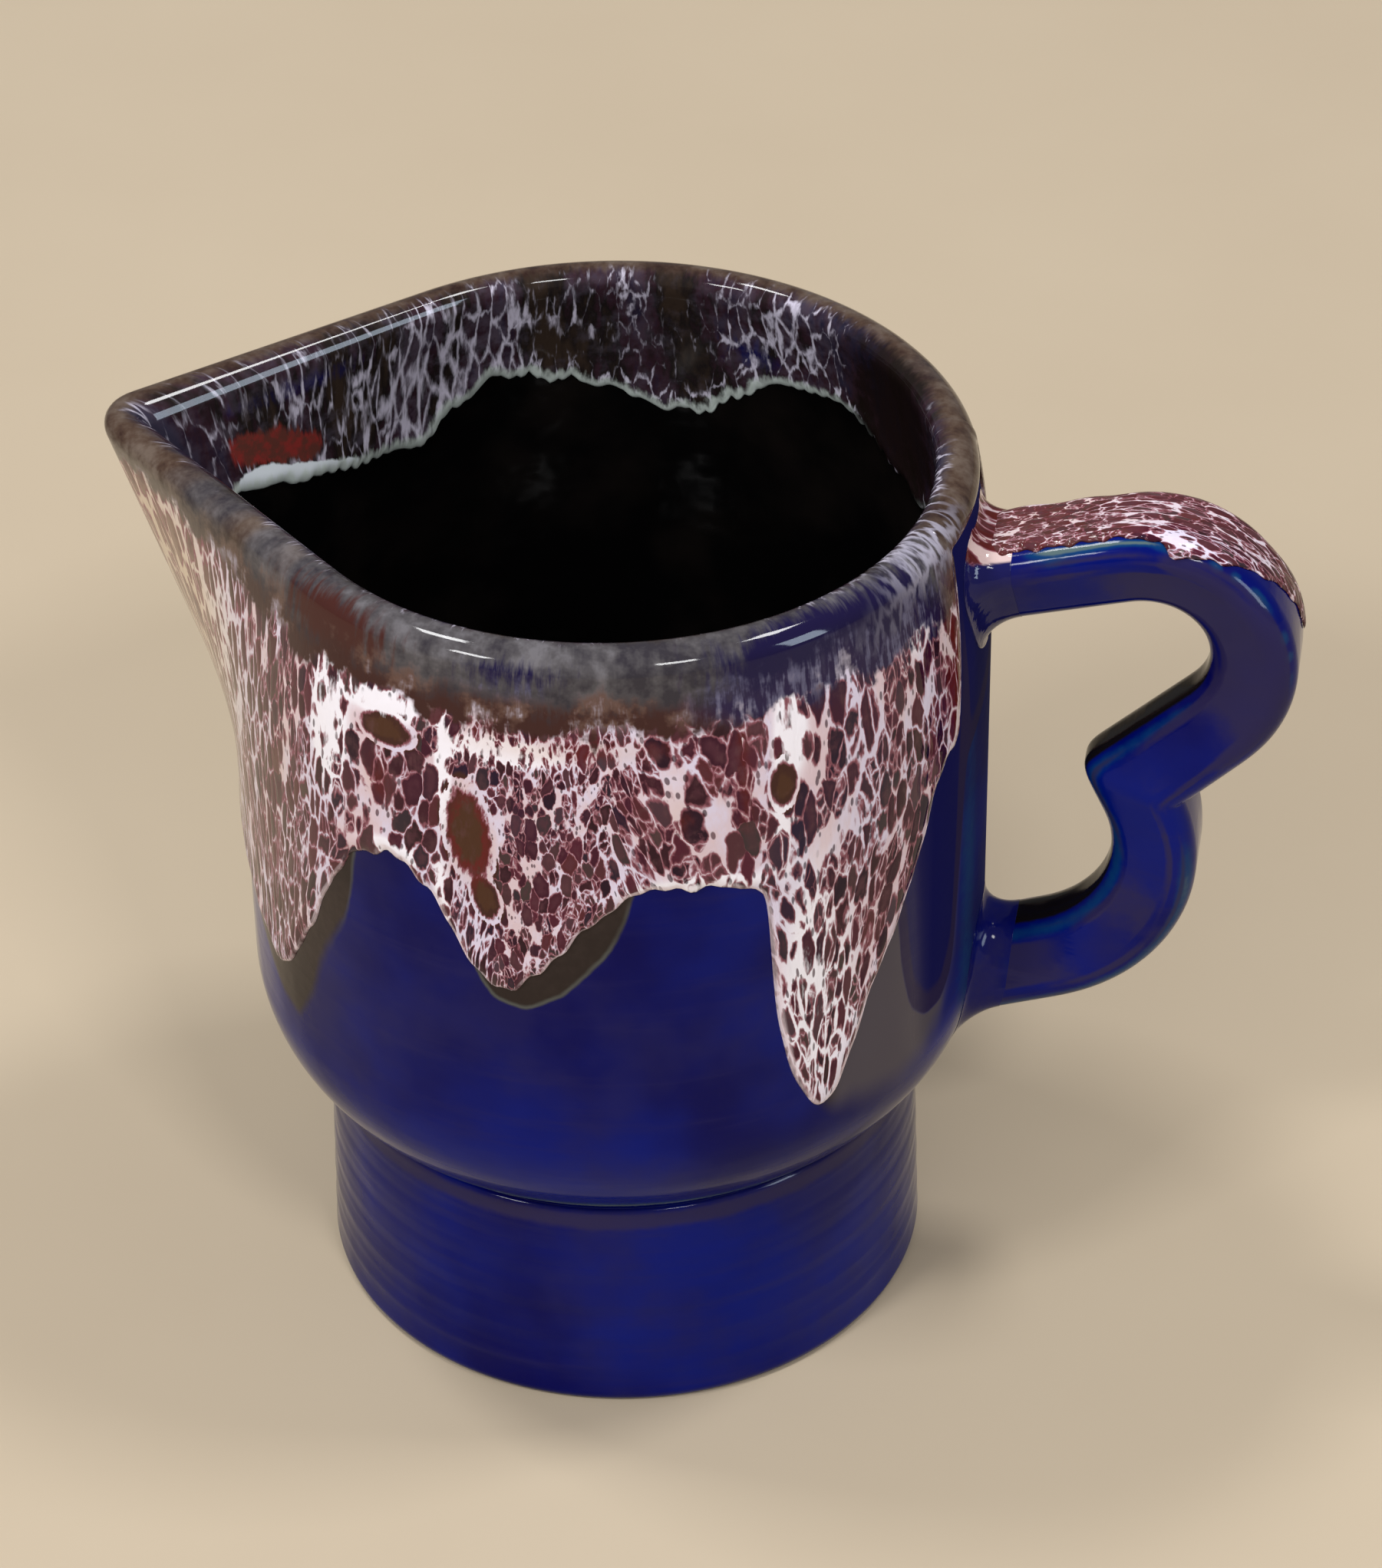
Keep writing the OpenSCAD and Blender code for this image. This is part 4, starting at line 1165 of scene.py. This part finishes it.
# Each point: run along the strap, length of the front edge down the section
front_points = np.array([
    (0, 4.5), (19, 4.4), (21, 4.9), (22, 6.4), (25, 5.6), (27.5, 4.4), (30, 2.6), (32, 1.0), (35, -1.2),
    (39, -3.2)])


def half_outline(steps=30):
    """Half of the section from the middle of its outer side: length, offsets out and across, normal."""
    outline = strap_section(steps=steps)[:2 * steps] * (1, -1)
    out, across = np.vstack([[(strap_t / 2, 0)], outline, [(-strap_t / 2, 0)]]).T
    length = np.concatenate([[0], np.cumsum(np.hypot(np.diff(out), np.diff(across)))])
    flank = outline[steps] - outline[steps - 1]
    bend = 90 - np.degrees(np.arctan2(flank[0], -flank[1]))
    normal = np.concatenate([[0], np.linspace(0, bend, steps), np.linspace(bend, 180, steps), [180]])
    return length, out, across, normal


def on_strap(run, length, grown):
    """Points on the strap: a run from the bowl along its middle line, a length across it, a height off it."""
    along, out, across, normal = half_outline()
    far = np.abs(length)
    turn = np.radians(np.interp(far, along, normal))
    u = np.interp(far, along, out) + grown * np.cos(turn)
    v = np.sign(length) * (np.interp(far, along, across) + grown * np.sin(turn))
    heading = upper_heading - np.degrees(np.maximum(0, run - lead) / upper_r)
    straight = way(upper_heading) * np.minimum(0, run - lead)[..., None]
    flat = upper_centre + straight + way(heading + 90) * (upper_r + u)[..., None]
    return np.stack([flat[..., 0], v, flat[..., 1]], axis=-1)


def both_sides(values):
    """A field of the face, repeated in reverse for the back."""
    return np.concatenate([values, values[:, ::-1]], axis=1)


share = np.linspace(0, 1, 110)[:, None]
side = np.linspace(-1, 1, 61)[None, :]
cap_run = cap_start + (cap_end - cap_rounding * side**2 - cap_start) * share
front_lap = np.interp(cap_run, *front_points.T)
front_lap = front_lap + 0.2 * np.sin(cap_run * 1.7) + 0.15 * np.sin(cap_run * 3.1 + 1.0)
back_lap = 4.8 + 0.3 * np.sin(cap_run * 0.9 + 2.0) + 1.4 * bell(cap_run, 24, 2.5)
cap_length = (back_lap * (1 + side) - front_lap * (1 - side)) / 2
to_sides = np.minimum(cap_length + front_lap, back_lap - cap_length)
to_ends = np.minimum(share, 1 - share) * (cap_end - cap_start)
cap_thick = cap_t * (1 - cap_thinning * share**2) * thickness(np.minimum(to_sides, to_ends))
cap_face = on_strap(cap_run, cap_length, cap_thick)
cap_back = on_strap(cap_run, cap_length, -cap_sink * cap_thick)
cap_grid = np.concatenate([cap_face, cap_back[:, ::-1]], axis=1)

hanging = bell(cap_run, 24.5, 3.5) * bell(cap_length, -5.0, 2.2)
at_front = bell(cap_length, -front_lap, 1.0) * fade(cap_run, 20, -2)
cap_fields = {
    "cells": both_sides(np.stack([cap_run / 1.8, cap_length / 0.8, 0 * cap_run + 3.0], axis=-1)),
    "ember": both_sides(0.6 - 0.2 * share - hanging),
    "pale": both_sides(np.clip(0.2 - hanging - 0.2 * share, 0, 1)),
    "milk": both_sides(-0.24 + 0.20 * hanging - 0.6 * at_front)}
cap_fields.update(even_fields(cap_grid.shape[:2], run=foam_run, shore=far_from_edge))
make_piece("handle_run_glaze", cap_grid, mottled, "handle_glaze", loop=False,
           fields=cap_fields)

# %% [markdown]
# The jug stands on a plain sheet the colour of sand, with a faint grain. It belongs to the stage, so it
# isn't part of the model.

# %% Floor
floor_half = 3.0


def floor_finish():
    """Sand with a faint grain."""
    f = Finish("floor_finish")
    grain = f.noise(f.place(), 12.0, 4.0)
    return f.close(f.mix(grain, (0.50, 0.41, 0.30), (0.56, 0.47, 0.35)), 0.7, sheen=0.2)


floor_mesh = bpy.data.meshes.new("floor")
floor_corners = np.array([(-1, -1, 0), (1, -1, 0), (1, 1, 0), (-1, 1, 0)]) * floor_half
floor_mesh.from_pydata(floor_corners, [], [(0, 1, 2, 3)])
floor_mesh.materials.append(floor_finish())
floor = bpy.data.objects.new("floor", floor_mesh)
bpy.context.scene.collection.objects.link(floor)
print("Floor of", 2 * floor_half, "metres")

# %% [markdown]
# A wide soft lamp that the gloss doesn't see lights the colours evenly. Four small panels overhead give
# the short streaks on the rim, and a bluish window at the right is seen in the gloss alone.

# %% Lamps
from mathutils import Matrix

aim = (0, 0, 0.06)
panel_size, panel_watts = (0.32, 0.22), 10
panels = {
    "front_left": (-0.85, -1.15, 1.40), "front_right": (0.72, -1.15, 1.50),
    "over_left": (-0.70, 0.15, 1.75), "over_right": (0.70, 0.15, 1.75)}


def look_along(back):
    """Rotation whose local z points back from what is looked at, with x level."""
    z = np.array(back) / np.linalg.norm(back)
    x = np.cross((0, 0, 1), z)
    x /= np.linalg.norm(x)
    return np.stack([x, np.cross(z, x), z], axis=1)


def placed(thing, rotation, place):
    """Stands an object at a place with a rotation."""
    matrix = np.eye(4)
    matrix[:3, :3] = rotation
    matrix[:3, 3] = place
    thing.matrix_world = Matrix(matrix)
    bpy.context.scene.collection.objects.link(thing)


def lamp(name, place, size, watts, in_gloss=True):
    """An area lamp that faces the jug; in_gloss says whether the glaze mirrors it."""
    data = bpy.data.lights.new(name, "AREA")
    data.shape = "RECTANGLE"
    data.size, data.size_y = size
    data.energy = watts
    thing = bpy.data.objects.new(name, data)
    placed(thing, look_along(np.array(place) - aim), place)
    thing.visible_glossy = in_gloss
    return thing


lamp("soft_lamp", (-0.5, -1.7, 1.5), (1.8, 1.8), 16.5, in_gloss=False)
for name, place in panels.items():
    lamp(name + "_panel", place, panel_size, panel_watts)
window = lamp("window", (1.50, -0.63, 0.66), (0.35, 0.75), 14)
window.data.color = (0.72, 0.85, 1.0)
window.visible_diffuse = False
world = bpy.data.worlds.new("room")
world.use_nodes = True
world.node_tree.nodes["Background"].inputs["Color"].default_value = (0.24, 0.23, 0.22, 1)
bpy.context.scene.world = world
bpy.context.scene.view_settings.view_transform = "Standard"
print("Lamps:", 2 + len(panels))

# %% [markdown]
# The camera stands where the photograph was taken from. Its place, its direction and its focal length
# were solved from the circles of the foot and the rim, and it is rolled by a little less than a degree.

# %% Camera
camera_place = np.array((98.4, -506.6, 455.3)) * MM
azimuth, elevation, roll = np.radians((10.0, 36.98, 0.8835))
focal_pixels, photo_pixels, sensor = 7000, 2044, 36

camera_data = bpy.data.cameras.new("camera")
camera_data.sensor_width = sensor
camera_data.lens = focal_pixels * sensor / photo_pixels
camera = bpy.data.objects.new("camera", camera_data)
level_back = np.array((np.sin(azimuth), -np.cos(azimuth), 0)) * np.cos(elevation)
level = look_along(level_back + (0, 0, np.sin(elevation)))
rolled = np.array([[np.cos(roll), np.sin(roll), 0], [-np.sin(roll), np.cos(roll), 0], [0, 0, 1]])
placed(camera, level @ rolled, camera_place)
bpy.context.scene.camera = camera
print("Camera at", np.round(camera.matrix_world.translation, 3))
